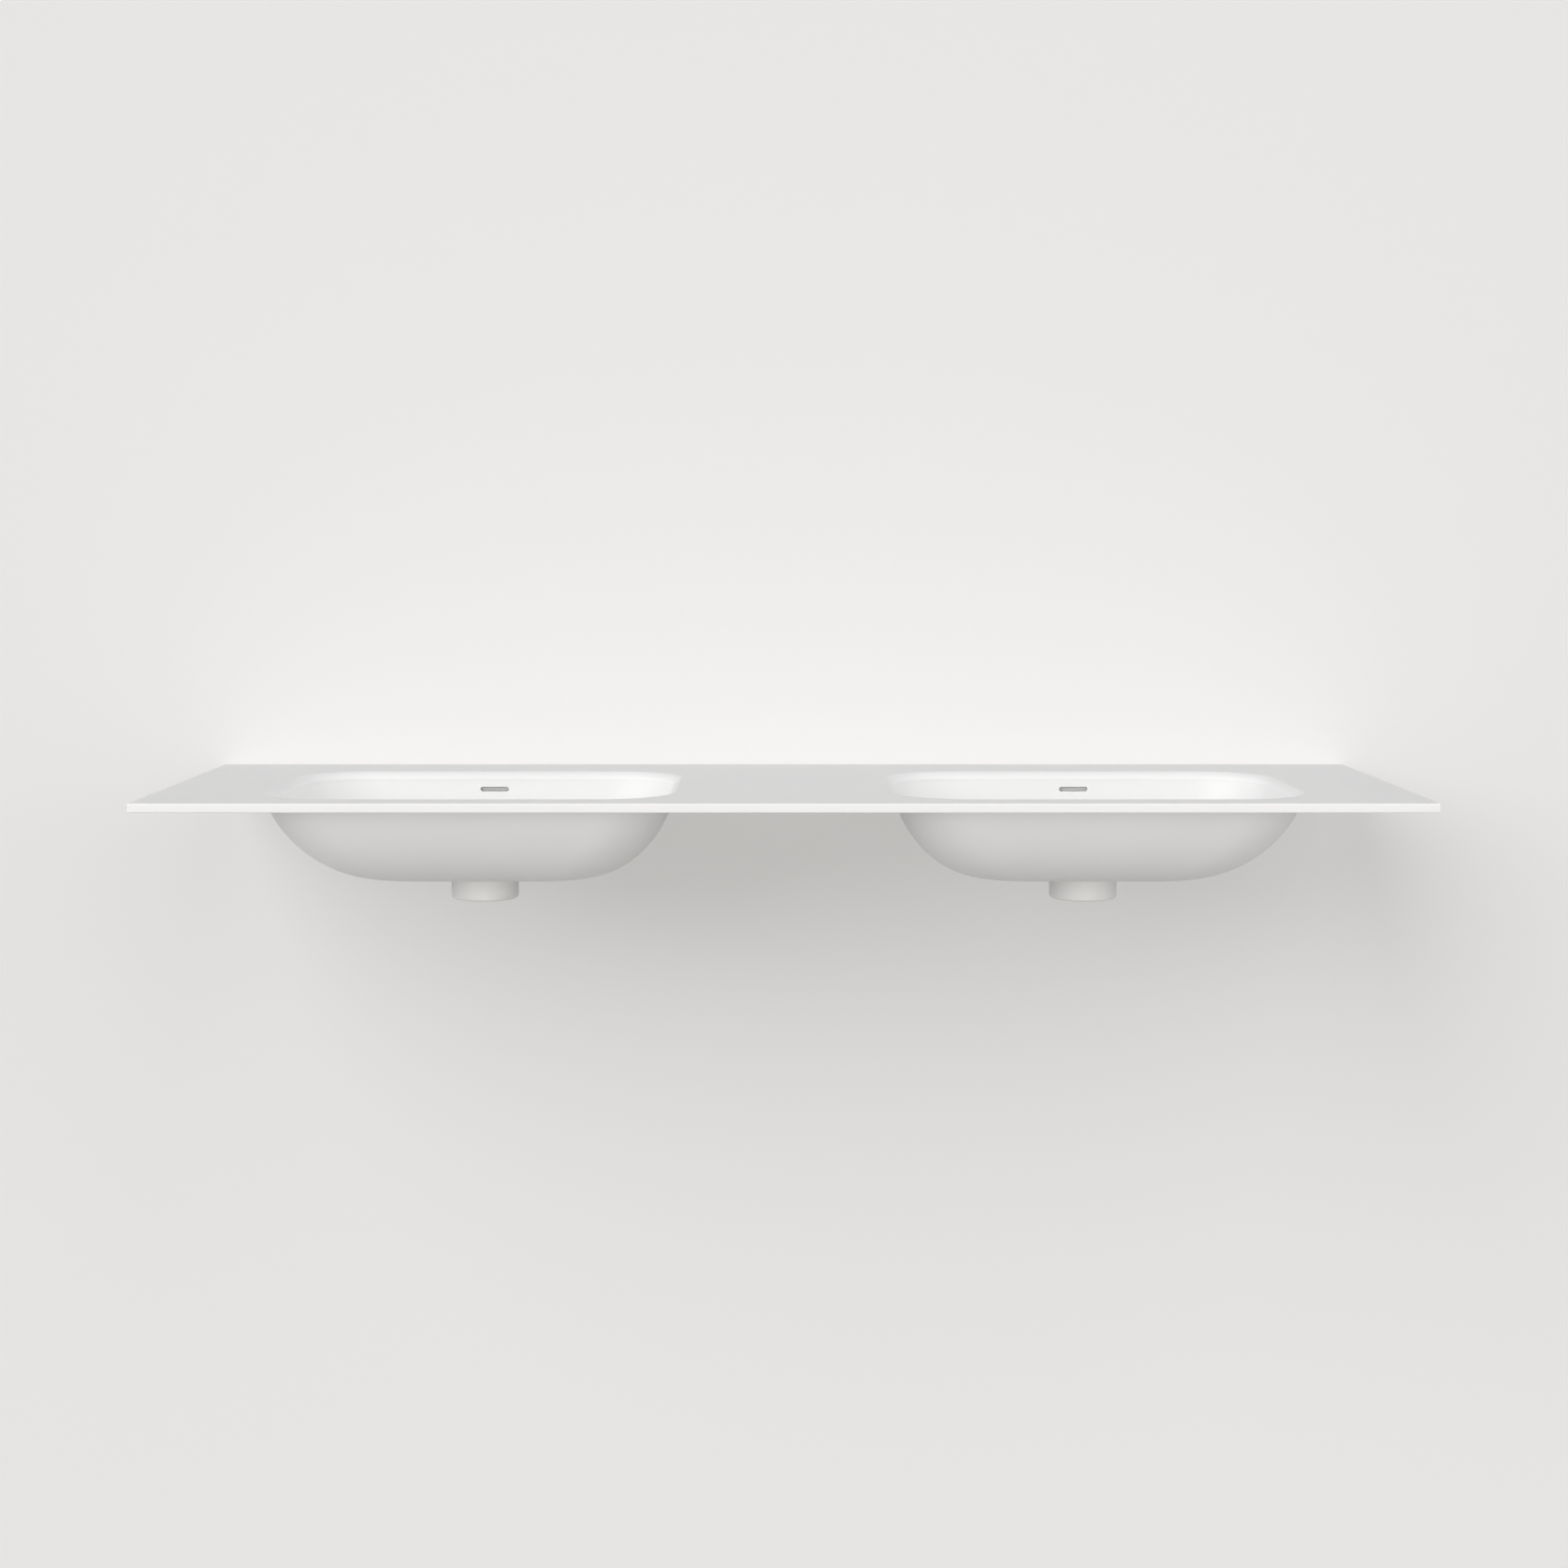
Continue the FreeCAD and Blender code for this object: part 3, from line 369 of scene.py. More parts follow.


# The sheet's white is set a little below the bowls', though both are one cast mineral: this is painted shade
# that keeps its top grey
sheet_finish = make_finish(
    "satin_white_sheet", CAST, {"Speckle": 0.35},
    tone="Cloud", dark=grey(0.8, 0.002), light=grey(0.818, 0.002),
    shine="Wipe", gloss=(0.42, 0.52), relief="Ripple", height=0.05, depth=0.0004, Specular_IOR_Level=0.25)
# Painted highlight on the sheet's roll and painted shade on its outer edge faces
paint_edge_light(sheet_finish, roll_highlight=0.085, edge_shade=0.045)
bowl_finish = make_finish(
    "glossy_white_bowl", CAST, {"Speckle": 0.2},
    tone="Cloud", dark=grey(0.846, 0.004), light=grey(0.863, 0.004),
    shine="Wipe", gloss=(0.36, 0.46), relief="Ripple", height=0.035, depth=0.0004, Specular_IOR_Level=0.3)
joint_finish = make_finish(
    "cured_joint", CAST, {"Speckle": 0.6},
    tone="Cloud", dark=grey(0.78, 0.012), light=grey(0.81, 0.012),
    shine="Wipe", gloss=(0.5, 0.65), relief="Ripple", height=0.3, depth=0.0003)
white_finish = make_finish(
    "white_moulding", MOULDED, {"Grain": 1300.0},
    tone="Drift", dark=grey(0.76, 0.01), light=grey(0.79, 0.01),
    shine="Drift", gloss=(0.38, 0.48), relief="Grain", height=0.12, depth=0.00012)
cover_finish = make_finish(
    "cover_moulding", MOULDED, {"Grain": 1500.0},
    tone="Drift", dark=grey(0.53, 0.004), light=grey(0.57, 0.004),
    shine="Drift", gloss=(0.42, 0.52), relief="Grain", height=0.12, depth=0.00012)
grey_finish = make_finish(
    "grey_moulding", MOULDED, {"Grain": 1600.0},
    tone="Drift", dark=(0.115, 0.12, 0.125), light=(0.14, 0.145, 0.15),
    shine="Drift", gloss=(0.45, 0.58), relief="Grain", height=0.2, depth=0.00012)
rubber_finish = make_finish(
    "seal_rubber", MOULDED, {"Grain": 2200.0},
    tone="Drift", dark=grey(0.012), light=grey(0.026),
    shine="Grain", gloss=(0.62, 0.78), relief="Grain", height=0.3, depth=0.00015)
metal_finish = make_finish(
    "polished_metal", TURNED, {"Pitch": 26000.0},
    tone="Smudge", dark=(0.62, 0.63, 0.64), light=(0.68, 0.69, 0.7),
    shine="Smudge", gloss=(0.07, 0.16), relief="Rings", height=0.06, depth=0.00002, Metallic=1.0)
brass_finish = make_finish(
    "turned_brass", TURNED, {"Pitch": 15000.0},
    tone="Smudge", dark=(0.5, 0.34, 0.12), light=(0.62, 0.45, 0.18),
    shine="Smudge", gloss=(0.2, 0.34), relief="Rings", height=0.15, depth=0.00004, Metallic=1.0)
steel_finish = make_finish(
    "screw_steel", TURNED, {"Pitch": 12000.0},
    tone="Smudge", dark=(0.42, 0.42, 0.42), light=(0.52, 0.52, 0.51),
    shine="Smudge", gloss=(0.28, 0.42), relief="Rings", height=0.12, depth=0.00003, Metallic=1.0)


# The sheet


def sheet_edge(inset, count=9):
    """The right half of the sheet's edge, drawn in by inset, in step with the basin's loop.

    The two outer corners are quarter circles of the sheet's corner less the inset; each straight
    run and each quarter of the basin has its own stretch of the edge, and the middle line closes it.
    """
    right, back = SHEET_HALF_WIDTH - inset, SHEET_HALF_DEPTH - inset
    corner = SHEET_CORNER - inset
    near, far = BASIN_X - BASIN_HALF + BASIN_CORNER, BASIN_X + BASIN_HALF - BASIN_CORNER
    low, high = BASIN_FRONT + BASIN_CORNER, BASIN_BACK - BASIN_CORNER
    turn = quarter(count)[1:-1]
    arc = corner * np.stack([np.cos(turn), np.sin(turn)], -1)
    run_back, run_left, run_front, run_right = BASIN_RUNS
    half = BEND // 2
    parts = [
        np.linspace((right, high), (right, back - corner), count),
        (right - corner, back - corner) + arc,
        np.linspace((right - corner, back), (far, back), count),
        np.linspace((far, back), (near, back), run_back + 1)[1:-1],
        np.linspace((near, back), (0, back), half + 1),
        np.linspace((0, SHEET_HALF_DEPTH), (0, high), half + 1)[1:],
        np.linspace((0, high), (0, low), run_left + 1)[1:-1],
        np.linspace((0, low), (0, -SHEET_HALF_DEPTH), half + 1)[:-1],
        np.linspace((0, -back), (near, -back), half + 1),
        np.linspace((near, -back), (far, -back), run_front + 1)[1:-1],
        np.linspace((far, -back), (right - corner, -back), count),
        (right - corner, corner - back) + arc[::-1] * (1, -1),
        np.linspace((right, corner - back), (right, low), count),
        np.linspace((right, low), (right, high), run_right + 1)[1:-1],
    ]
    return np.concatenate(parts)


def sheet_half():
    """The right half of the sheet, as a profile carried round the basin, and its eased outer edge.

    The roll is an ellipse's arc from a crisp edge to upright, t running from s to 90 degrees: drawn
    in by R (sin t - sin s) / (1 - sin s) and lowered by R (1 - cos t / cos s). Inside it come the
    land, the rebate for the bowl's rim and the underside. The outer edge has a quarter circle at
    the top and a smaller one below. On the middle line both drawn-in edges are one line, so no
    face lies between them there.
    """
    top = SHEET_THICKNESS

    def basin(inset):
        """The right basin's outline, drawn in by inset."""
        return outline(*basin_sizes(inset)) + (BASIN_X, 0)

    def edge(insets):
        """The sheet's edge, once for each inset."""
        return np.stack([sheet_edge(inset) for inset in insets])

    t = quarter(13, ROLL_START)
    inward = RIM_ROLL * (np.sin(t) - np.sin(t[0])) / (1 - np.sin(t[0]))
    down = RIM_ROLL * (1 - np.cos(t) / np.cos(t[0]))
    rebate = RIM_ROLL - BOWL_WALL - REBATE_CLEARANCE
    face = np.concatenate([
        at_level(edge([TOP_ARRIS, TOP_ARRIS + EDGE_BAND]), top),
        at_level(basin(-ROLL_BAND), top),
        at_level(basin(inward), top - down),
        at_level(basin(RIM_ROLL), REBATE),
        at_level(basin(np.array([rebate, rebate])), [REBATE, 0]),
        at_level(edge([UNDER_ARRIS + EDGE_BAND, UNDER_ARRIS]), 0),
    ])
    upper, lower = quarter(9), quarter(7)
    insets = np.concatenate([TOP_ARRIS * (1 - np.sin(upper)), UNDER_ARRIS * (1 - np.cos(lower))])
    levels = np.concatenate([top - TOP_ARRIS * (1 - np.cos(upper)), UNDER_ARRIS * (1 - np.sin(lower))])
    band = at_level(edge(insets), levels)
    run_back, run_left = BASIN_RUNS[:2]
    back_middle = BEND + run_back + BEND // 2
    front_middle = back_middle + BEND + run_left
    around = np.roll(band, -front_middle, axis=1)[:, : (back_middle - front_middle) % band.shape[1] + 1]
    keep = np.ones((len(face) - 1, face.shape[1]), bool)
    keep[[0, -1], back_middle:front_middle] = False
    return face, keep, around


def make_sheet():
    """Both halves: the left is the right with x reversed."""
    face, keep, edge = sheet_half()
    flip = np.array([-1.0, 1.0, 1.0])
    grids = [
        (face, False, True, keep), (edge, False, False, None),
        (face * flip, False, True, keep), (edge * flip, False, False, None),
    ]
    make_piece("vanity_sheet", grids, "deck_slab", sheet_finish, crease=SHEET_CREASE)


# The bowls


def wall_sizes(turn, wall):
    """The bowl's outline at a turn, floor + (rim - floor) cos(turn).

    The rim is that of a wall this far outside the lining.
    """
    fall = np.cos(turn)
    floors = (FLOOR_HALF, FLOOR_FRONT, FLOOR_BACK, FLOOR_CORNER)
    return [floor + (rim - floor) * fall for rim, floor in zip(basin_sizes(RIM_ROLL - wall), floors)]


def wall_turn(level, height):
    """The turn at which the wall passes a level: the inverse of level = rim - height sin(turn)^power."""
    return np.arcsin(np.clip((BOWL_RIM - level) / height, 0, 1) ** (1 / BOWL_POWER))


def bowl_wall(wall, height, window):
    """The wall from rim to floor, with rows that match the window's top and bottom."""
    top, bottom = window
    turn = np.concatenate([
        np.linspace(0, wall_turn(top, height), WINDOW_FIRST + 1)[:-1],
        wall_turn(np.linspace(top, bottom, WINDOW_ROWS + 1), height),
        np.linspace(wall_turn(bottom, height), np.pi / 2, 44)[1:],
    ])
    return at_level(outline(*wall_sizes(turn, wall)), BOWL_RIM - height * np.sin(turn) ** BOWL_POWER)


def window_edge(wall):
    """The rim of the patch left out of a wall for the overflow, anticlockwise from its top middle."""
    i0, i1 = WINDOW_FIRST, WINDOW_FIRST + WINDOW_ROWS
    j0, jm, j1 = WINDOW_MIDDLE - WINDOW_HALF, WINDOW_MIDDLE, WINDOW_MIDDLE + WINDOW_HALF
    parts = [wall[i0, jm:j1], wall[i0:i1, j1], wall[i1, j1:j0:-1], wall[i1:i0:-1, j0], wall[i0, j0:jm]]
    return np.concatenate(parts)


def oblong(half, rise, corner):
    """A rounded oblong about the overflow's level, from its top middle, at the window's number of places."""
    bend, long_run, short_run = 24, 64, 16
    runs = (long_run, short_run, long_run, short_run)
    loop = outline(half, SLOT_Z - rise, SLOT_Z + rise, corner, runs, bend)[0]
    return spaced(loop, 4 * WINDOW_HALF + 2 * WINDOW_ROWS, bend + long_run // 2)


def overflow_way(lining, outside, heights):
    """The way through the back wall: the lining's patch, the slot's lip, the tunnel, the boss and its root.

    Each ring is a loop (x, z); its y is the wall's own y at that z on the two walls, and the boss's
    face between them. The lip is a quarter circle: grown by e (1 - sin t), set back by e (1 - cos t),
    and so is the boss's edge, drawn in.
    """

    def back(level, wall, height):
        """The y of a wall's back at a level."""
        return wall_sizes(wall_turn(level, height), wall)[2]

    def ring(loop, depth):
        """A loop (x, z) stood up at (x, depth, z)."""
        return np.stack([loop[:, 0], np.broadcast_to(depth, loop.shape[:1]), loop[:, 1]], -1)

    inner_edge, outer_edge = window_edge(lining), window_edge(outside)
    lip = oblong(SLOT_HALF + SLOT_LIP, SLOT_RISE + SLOT_LIP, SLOT_CORNER + SLOT_LIP)
    boss = oblong(BOSS_HALF, BOSS_RISE, BOSS_CORNER)
    rows = []
    for share in (0.0, 0.35, 0.7, 0.9):
        loop = inner_edge[:, [0, 2]] * (1 - share) + lip * share
        rows.append(ring(loop, back(loop[:, 1], 0, heights[0])))
    for t in quarter(6):
        grown = SLOT_LIP * (1 - np.sin(t))
        loop = oblong(SLOT_HALF + grown, SLOT_RISE + grown, SLOT_CORNER + grown)
        rows.append(ring(loop, back(loop[:, 1], 0, heights[0]) + SLOT_LIP * (1 - np.cos(t))))
    rows.append(ring(oblong(SLOT_HALF, SLOT_RISE, SLOT_CORNER), BOSS_Y))
    for t in quarter(5):
        drawn = BOSS_EASE * (1 - np.sin(t))
        loop = oblong(BOSS_HALF - drawn, BOSS_RISE - drawn, BOSS_CORNER - drawn)
        rows.append(ring(loop, BOSS_Y - BOSS_EASE * (1 - np.cos(t))))
    rows.append(ring(boss, back(boss[:, 1], BOWL_WALL, heights[1])))
    for share in (0.15, 0.4, 0.7, 1.0):
        loop = boss * (1 - share) + outer_edge[:, [0, 2]] * share
        rows.append(ring(loop, back(loop[:, 1], BOWL_WALL, heights[1])))
    return np.stack(rows)


def make_bowl(side, x):
    """The bowl as one profile carried round: lining, floor, drain, underside, outer wall and rim.

    The floor's rings go from its outline to a circle about the drain, (1 - s) outline + s circle.
    """
    heights = (BOWL_RIM - BOWL_FLOOR, BOWL_RIM - BOWL_FOOT)
    lining = bowl_wall(0.0, heights[0], LINING_WINDOW)
    outside = bowl_wall(BOWL_WALL, heights[1], OUTSIDE_WINDOW)
    floor = outline(FLOOR_HALF, FLOOR_FRONT, FLOOR_BACK, FLOOR_CORNER)[0]
    angle = np.arctan2(floor[:, 1] - DRAIN_Y, floor[:, 0])
    circle = np.stack([np.cos(angle), np.sin(angle)], -1)
    drain = np.array([0, DRAIN_Y])
    wide, narrow = FLANGE_RADIUS + FLANGE_CLEARANCE, NECK_RADIUS + NECK_CLEARANCE
    recess_floor = BOWL_FLOOR - FLANGE_RECESS
    recess = eased([
        (wide, BOWL_FLOOR, 0.5), (wide, recess_floor, 0.2),
        (narrow, recess_floor, 0.2), (narrow, BOWL_FOOT, 0.6),
    ], 4)
    rings = drain + recess[:, :1, None] * circle
    shares = np.array([0.3, 0.6, 0.85])[:, None, None]
    margin = 1.7
    upper = floor * (1 - shares) + (drain + (wide + margin) * circle) * shares
    lower = floor * (1 - shares) + (drain + (narrow + margin) * circle) * shares
    rows = np.concatenate([
        lining, at_level(upper, BOWL_FLOOR), at_level(rings, recess[:, 1]),
        at_level(lower[::-1], BOWL_FOOT), outside[::-1],
    ])
    keep = np.ones(rows.shape[:2], bool)
    columns = slice(WINDOW_MIDDLE - WINDOW_HALF, WINDOW_MIDDLE + WINDOW_HALF)
    keep[WINDOW_FIRST : WINDOW_FIRST + WINDOW_ROWS, columns] = False
    last = len(rows) - 1 - WINDOW_FIRST
    keep[last - WINDOW_ROWS : last, columns] = False
    shift = np.array([x, 0, 0])
    grids = [
        (rows + shift, True, True, keep),
        (overflow_way(lining, outside, heights) + shift, False, True, None),
    ]
    make_piece(f"{side}_basin_bowl", grids, f"{side}_bowl", bowl_finish)


def make_joint(side, x):
    """The joint between sheet and bowl: a flat bead carried round the rim, its inner face a shallow hollow.

    The hollow is drawn back by h sin(t) as t runs from the bowl's rim to the rebate.
    """
    t = np.linspace(0, np.pi, 5)
    outer = RIM_ROLL - BOWL_WALL + JOINT_SETBACK
    inset = np.concatenate([RIM_ROLL - JOINT_HOLLOW * np.sin(t), [outer, outer]])
    level = np.concatenate([np.linspace(BOWL_RIM, REBATE, len(t)), [REBATE, BOWL_RIM]])
    grids = [(at_level(outline(*basin_sizes(inset)), level) + (x, 0, 0), True, True, None)]
    make_piece(f"{side}_joint_bead", grids, f"{side}_bowl_adhesive", joint_finish)


def make_cover(side, x):
    """The overflow's cover: a strip with an eased edge, closed on its own middle line, and two legs.

    The easing is a quarter circle: drawn in by e (1 - sin t) and set back by e (1 - cos t).
    """
    half, rise, corner = SLOT_HALF - COVER_GAP, SLOT_RISE - COVER_GAP, SLOT_CORNER - COVER_GAP
    t = quarter(5)
    drawn = np.concatenate([[rise], COVER_EASE * (1 - np.sin(t)), [0.0, rise]])
    depth = np.concatenate([[0.0], COVER_EASE * (1 - np.cos(t)), [COVER_THICKNESS] * 2])
    edge = np.maximum(corner - drawn, 0.0)
    strip = outline(half - drawn, drawn - rise, rise - drawn, edge, (24, 4, 24, 4), 8) + (x, 0)
    grids = [(at_depth(strip, COVER_Y + depth), False, True, None)]
    open_ends = np.array([0.0, 1.0, 1.0, 0.0])
    tall = np.maximum(open_ends * (SLOT_RISE - COVER_FIT), LEG_CLOSED)
    wide = np.maximum(open_ends * COVER_LEG / 2, LEG_CLOSED)
    leg_depth = np.array([COVER_Y + COVER_THICKNESS] * 2 + [BOSS_Y] * 2)
    for offset in (-COVER_LEG_PITCH / 2, COVER_LEG_PITCH / 2):
        leg = outline(wide, -tall, tall, open_ends * COVER_LEG / 10, (2, 2, 2, 2), 4) + (x + offset, 0)
        grids.append((at_depth(leg, leg_depth), False, True, None))
    make_piece(f"{side}_cover_strip", grids, f"{side}_overflow_cover", cover_finish)


# The drain and the overflow


def make_housing(side, x):
    """The housing under the bowl, turned: its neck, round foot, pipe socket, stop and chamber."""
    thread = THREAD_RADIUS + THREAD_CLEARANCE
    stop = SOCKET_RADIUS - SOCKET_LEDGE
    profile = eased([
        (thread, NECK_TOP, 0.4), (NECK_RADIUS, NECK_TOP, 0.6), (NECK_RADIUS, BOWL_FOOT, 0.1),
        (HOUSING_RADIUS, BOWL_FOOT, 0.6), (HOUSING_RADIUS, HOUSING_END, 4.6),
        (SOCKET_RADIUS + SOCKET_CHAMFER, HOUSING_END, 0.4),
        (SOCKET_RADIUS, HOUSING_END + SOCKET_CHAMFER, 0.4),
        (SOCKET_RADIUS, STOP_END, 0.2), (stop, STOP_END, 0.4), (stop, CHAMBER_END, 0.4),
        (CHAMBER_RADIUS, CHAMBER_END, 0.8), (CHAMBER_RADIUS, SKIRT_END, 0.8), (thread, SKIRT_END, 0.3),
    ], 9)
    grids = [(turned(profile, x), True, True, None)]
    make_piece(f"{side}_housing", grids, f"{side}_drain_housing", white_finish)


def make_flange(side, x):
    """The flange in the bowl's floor, turned: its lip, its skirt, the guide's ledge and the throat."""
    guide_seat, ledge = SKIRT_END + THROAT_LEDGE, THROAT_RADIUS - THROAT_LEDGE
    profile = eased([
        (THROAT_RADIUS + SEAT_CHAMFER, LIP_TOP, 0.5), (FLANGE_RADIUS, LIP_TOP, 1.2),
        (FLANGE_RADIUS, LIP_FOOT, 0.2), (THREAD_RADIUS, LIP_FOOT, 0.1), (THREAD_RADIUS, SKIRT_END, 0.4),
        (ledge, SKIRT_END, 0.3), (ledge, guide_seat, 0.3), (THROAT_RADIUS, guide_seat, 0.1),
        (THROAT_RADIUS, LIP_TOP - SEAT_CHAMFER, 0.5),
    ], 7)
    grids = [(turned(profile, x), True, True, None)]
    make_piece(f"{side}_flange_ring", grids, f"{side}_waste_flange", metal_finish)


def make_cap(side, x):
    """The stopper's cap, turned: a dome of radius (R^2 + h^2) / 2h, an eased rim, and a boss for the stem.

    The first corner of the rim only gives its direction, so its own points are left out.
    """
    shoulder = CAP_RADIUS - CAP_ROUND
    reach = np.linspace(0, shoulder, 22)
    sphere = (CAP_RADIUS**2 + CAP_DOME**2) / (2 * CAP_DOME)
    dome = np.stack([reach, CAP_RIM + CAP_DOME - sphere + np.sqrt(sphere**2 - reach**2)], -1)
    socket_end = CAP_BOSS_FOOT + STEM_SOCKET_DEPTH
    count = 5
    under = eased([
        (shoulder, CAP_RIM + CAP_SHOULDER, 0.0), (CAP_RADIUS, CAP_RIM, 0.35), (CAP_RADIUS, CAP_FOOT, 0.4),
        (CAP_BOSS, CAP_FOOT, 0.5), (CAP_BOSS, CAP_BOSS_FOOT, 0.5), (STEM_SOCKET, CAP_BOSS_FOOT, 0.3),
        (STEM_SOCKET, socket_end, 0.1), (0.0, socket_end, 0.0),
    ], count)[count:]
    grids = [(turned(np.concatenate([dome, under]), x), False, True, None)]
    make_piece(
        f"{side}_stopper_cap", grids, f"{side}_plug_cap", metal_finish, body=f"{side}_plug")


def duct_spine():
    """The duct's middle line (y, z) and its direction: a lead, a bend, a run down, a bend and a spigot.

    The upper bend is (heel + b sin t, slot - b (1 - cos t)), the lower one (heel + b cos t,
    foot + b (1 - sin t)), each with t from 0 to 90 degrees.
    """
    turn = quarter(10)
    heel = DUCT_SEAT + DUCT_LEAD
    upper = np.stack([heel + DUCT_BEND * np.sin(turn), SLOT_Z - DUCT_BEND * (1 - np.cos(turn))], -1)
    lower = np.stack([heel + DUCT_BEND * np.cos(turn), DUCT_FOOT_Z + DUCT_BEND * (1 - np.sin(turn))], -1)
    start, end = [(DUCT_SEAT + DUCT_FLANGE + DUCT_FILLET, SLOT_Z)], [(DUCT_END, DUCT_FOOT_Z)]
    points = np.concatenate([start, upper, lower, end])
    angles = np.concatenate([[0], -turn, -np.pi / 2 - turn, [-np.pi]])
    return points, np.stack([np.cos(angles), np.sin(angles)], -1)


def make_duct(side, x):
    """The duct: a flange with eased edges, then a flat pipe's section carried along its spine and back.

    Each point (a, b) of the section goes to x = a and (y, z) = spine + b * the spine's side way.
    """

    def section(half, rise, corner):
        """A rounded oblong about the middle line."""
        return outline(half, -np.asarray(rise, float), rise, corner, (40, 8, 40, 8), 8)

    t = quarter(5)
    face = DUCT_SEAT + DUCT_FLANGE
    drawn, grown = DUCT_EASE * (1 - np.cos(t)), DUCT_FILLET * (1 - np.sin(t))
    passage = section(DUCT_HALF - DUCT_WALL, DUCT_RISE - DUCT_WALL, DUCT_WALL)
    pipe = section(DUCT_HALF, DUCT_RISE, DUCT_WALL)
    plate = section(BOSS_HALF, BOSS_RISE, BOSS_CORNER)
    plate_edge = section(BOSS_HALF - drawn, BOSS_RISE - drawn, BOSS_CORNER - drawn)
    fillet = section(DUCT_HALF + grown, DUCT_RISE + grown, DUCT_WALL + grown)
    flange = [
        at_depth(passage, DUCT_SEAT),
        at_depth(plate, DUCT_SEAT),
        at_depth(plate_edge, face - DUCT_EASE * (1 - np.sin(t))),
        at_depth(fillet, face + DUCT_FILLET * (1 - np.cos(t))),
    ]
    spine, heading = duct_spine()
    side_way = np.stack([-heading[:, 1], heading[:, 0]], -1)

    def carried(loop):
        """A section at every place of the spine."""
        place = spine[:, None] + loop[..., 1:] * side_way[:, None]
        return np.concatenate([np.broadcast_to(loop[..., :1], place.shape[:2] + (1,)), place], -1)

    rows = np.concatenate(flange + [carried(pipe), carried(passage)[::-1]]) + (x, 0, 0)
    grids = [(rows, True, True, None)]
    make_piece(f"{side}_duct", grids, f"{side}_overflow_duct", white_finish)


def make_screws(side, x):
    """Two pan-head screws: radius r and angle t give a low dome, less a cross recess that fades at its walls.

    The recess is deepest where the smaller of |u| and |v| is under half the cross's width and the
    larger is within its reach, u and v being the two ways across the head.
    """
    t = np.linspace(0, 2 * np.pi, 96, endpoint=False)[None, :]
    r = np.linspace(0, 1, 30)[:, None] * SCREW_HEAD
    u, v = r * np.cos(t), r * np.sin(t)
    small, large = np.minimum(abs(u), abs(v)), np.maximum(abs(u), abs(v))
    across = np.clip((CROSS_HALF - small) / CROSS_SIDE_FADE, 0, 1)
    along = np.clip((CROSS_REACH - large) / CROSS_END_FADE, 0, 1)
    dome = SCREW_HEAD_RISE - SCREW_HEAD_FALL * (r / SCREW_HEAD) ** SCREW_HEAD_POWER
    rise = dome - CROSS_DEPTH * across * along
    seat = DUCT_SEAT + DUCT_FLANGE
    shank = np.array([
        (SCREW_HEAD, 0.0), (SCREW_SHANK, 0.0), (SCREW_SHANK, SCREW_POINT - SCREW_LENGTH),
        (SCREW_POINT, -SCREW_LENGTH), (0.0, -SCREW_LENGTH),
    ])
    ring, drop = shank[:, :1], shank[:, 1:]
    grids = []
    for offset in (-SCREW_PITCH / 2, SCREW_PITCH / 2):
        upper = np.stack([x + offset + u, seat + rise, SLOT_Z + v], -1)
        lower = np.stack([x + offset + ring * np.cos(t), seat + drop + 0 * t, SLOT_Z + ring * np.sin(t)], -1)
        grids.append((np.concatenate([upper, lower]), False, True, None))
    make_piece(f"{side}_pan_screws", grids, f"{side}_overflow_screws", steel_finish)


make_sheet()
for side, x in SIDES:
    make_bowl(side, x)
    make_joint(side, x)
    make_cover(side, x)
    make_housing(side, x)
    make_flange(side, x)
    make_cap(side, x)
    make_duct(side, x)
    make_screws(side, x)

# The pieces inside each drain and behind each overflow keep their own shape and get their finish here
INNER_FINISHES = {
    "housing_seal": rubber_finish, "flange_seal": rubber_finish,
    "plug_guide": grey_finish, "latch_cartridge": brass_finish, "plug_stem": brass_finish,
    "plug_seal": rubber_finish, "overflow_gasket": rubber_finish,
}
for side, _ in SIDES:
    for piece, finish in INNER_FINISHES.items():
        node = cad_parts[f"{side}_{piece}"]
        node.data.materials.clear()
        node.data.materials.append(finish)


# The wall, the floor, the light and the camera, in metres
WALL_Y, FLOOR_Z, REACH = 0.2305, -1.1, 14.0
GROUND_COLOUR, GROUND_GLOW = (0.6, 0.6, 0.6), (0.37, 0.36, 0.35)
SKY_TOP, ROOM_LEVEL, BACK_LOW, BACK_LEVEL = 0.05, 0.22, 0.19, 0.9
WARM, WHITE, PALE = (1.0, 0.978, 0.955), (1.0, 1.0, 1.0), (0.8, 0.79, 0.78)
PHOTO_PIXELS, FOCAL_PIXELS, SENSOR_WIDTH = 1676, 2613, 36
CAMERA_PLACE, CAMERA_TILT = (0, -2.8168, 0.2881), 5.676


def pale_finish(name, colour, glow):
    """A plain pale ground with a little glow, so that its shadows stay pale.

    It shows only its front, so that it never hides the object from behind.
    """
    finish = bpy.data.materials.new(name)
    finish.use_nodes = True
    tree = finish.node_tree
    tree.nodes.clear()
    matt = put(tree, "ShaderNodeBsdfDiffuse", [("Color", (*colour, 1))])
    light = put(tree, "ShaderNodeEmission", [("Color", (*glow, 1)), ("Strength", 1.0)])
    ground = put(tree, "ShaderNodeAddShader", [(0, matt.outputs[0]), (1, light.outputs[0])])
    clear = put(tree, "ShaderNodeBsdfTransparent")
    behind = put(tree, "ShaderNodeNewGeometry").outputs["Backfacing"]
    mix = put(tree, "ShaderNodeMixShader", [(0, behind), (1, ground.outputs[0]), (2, clear.outputs[0])])
    put(tree, "ShaderNodeOutputMaterial", [("Surface", mix.outputs[0])])
    return finish


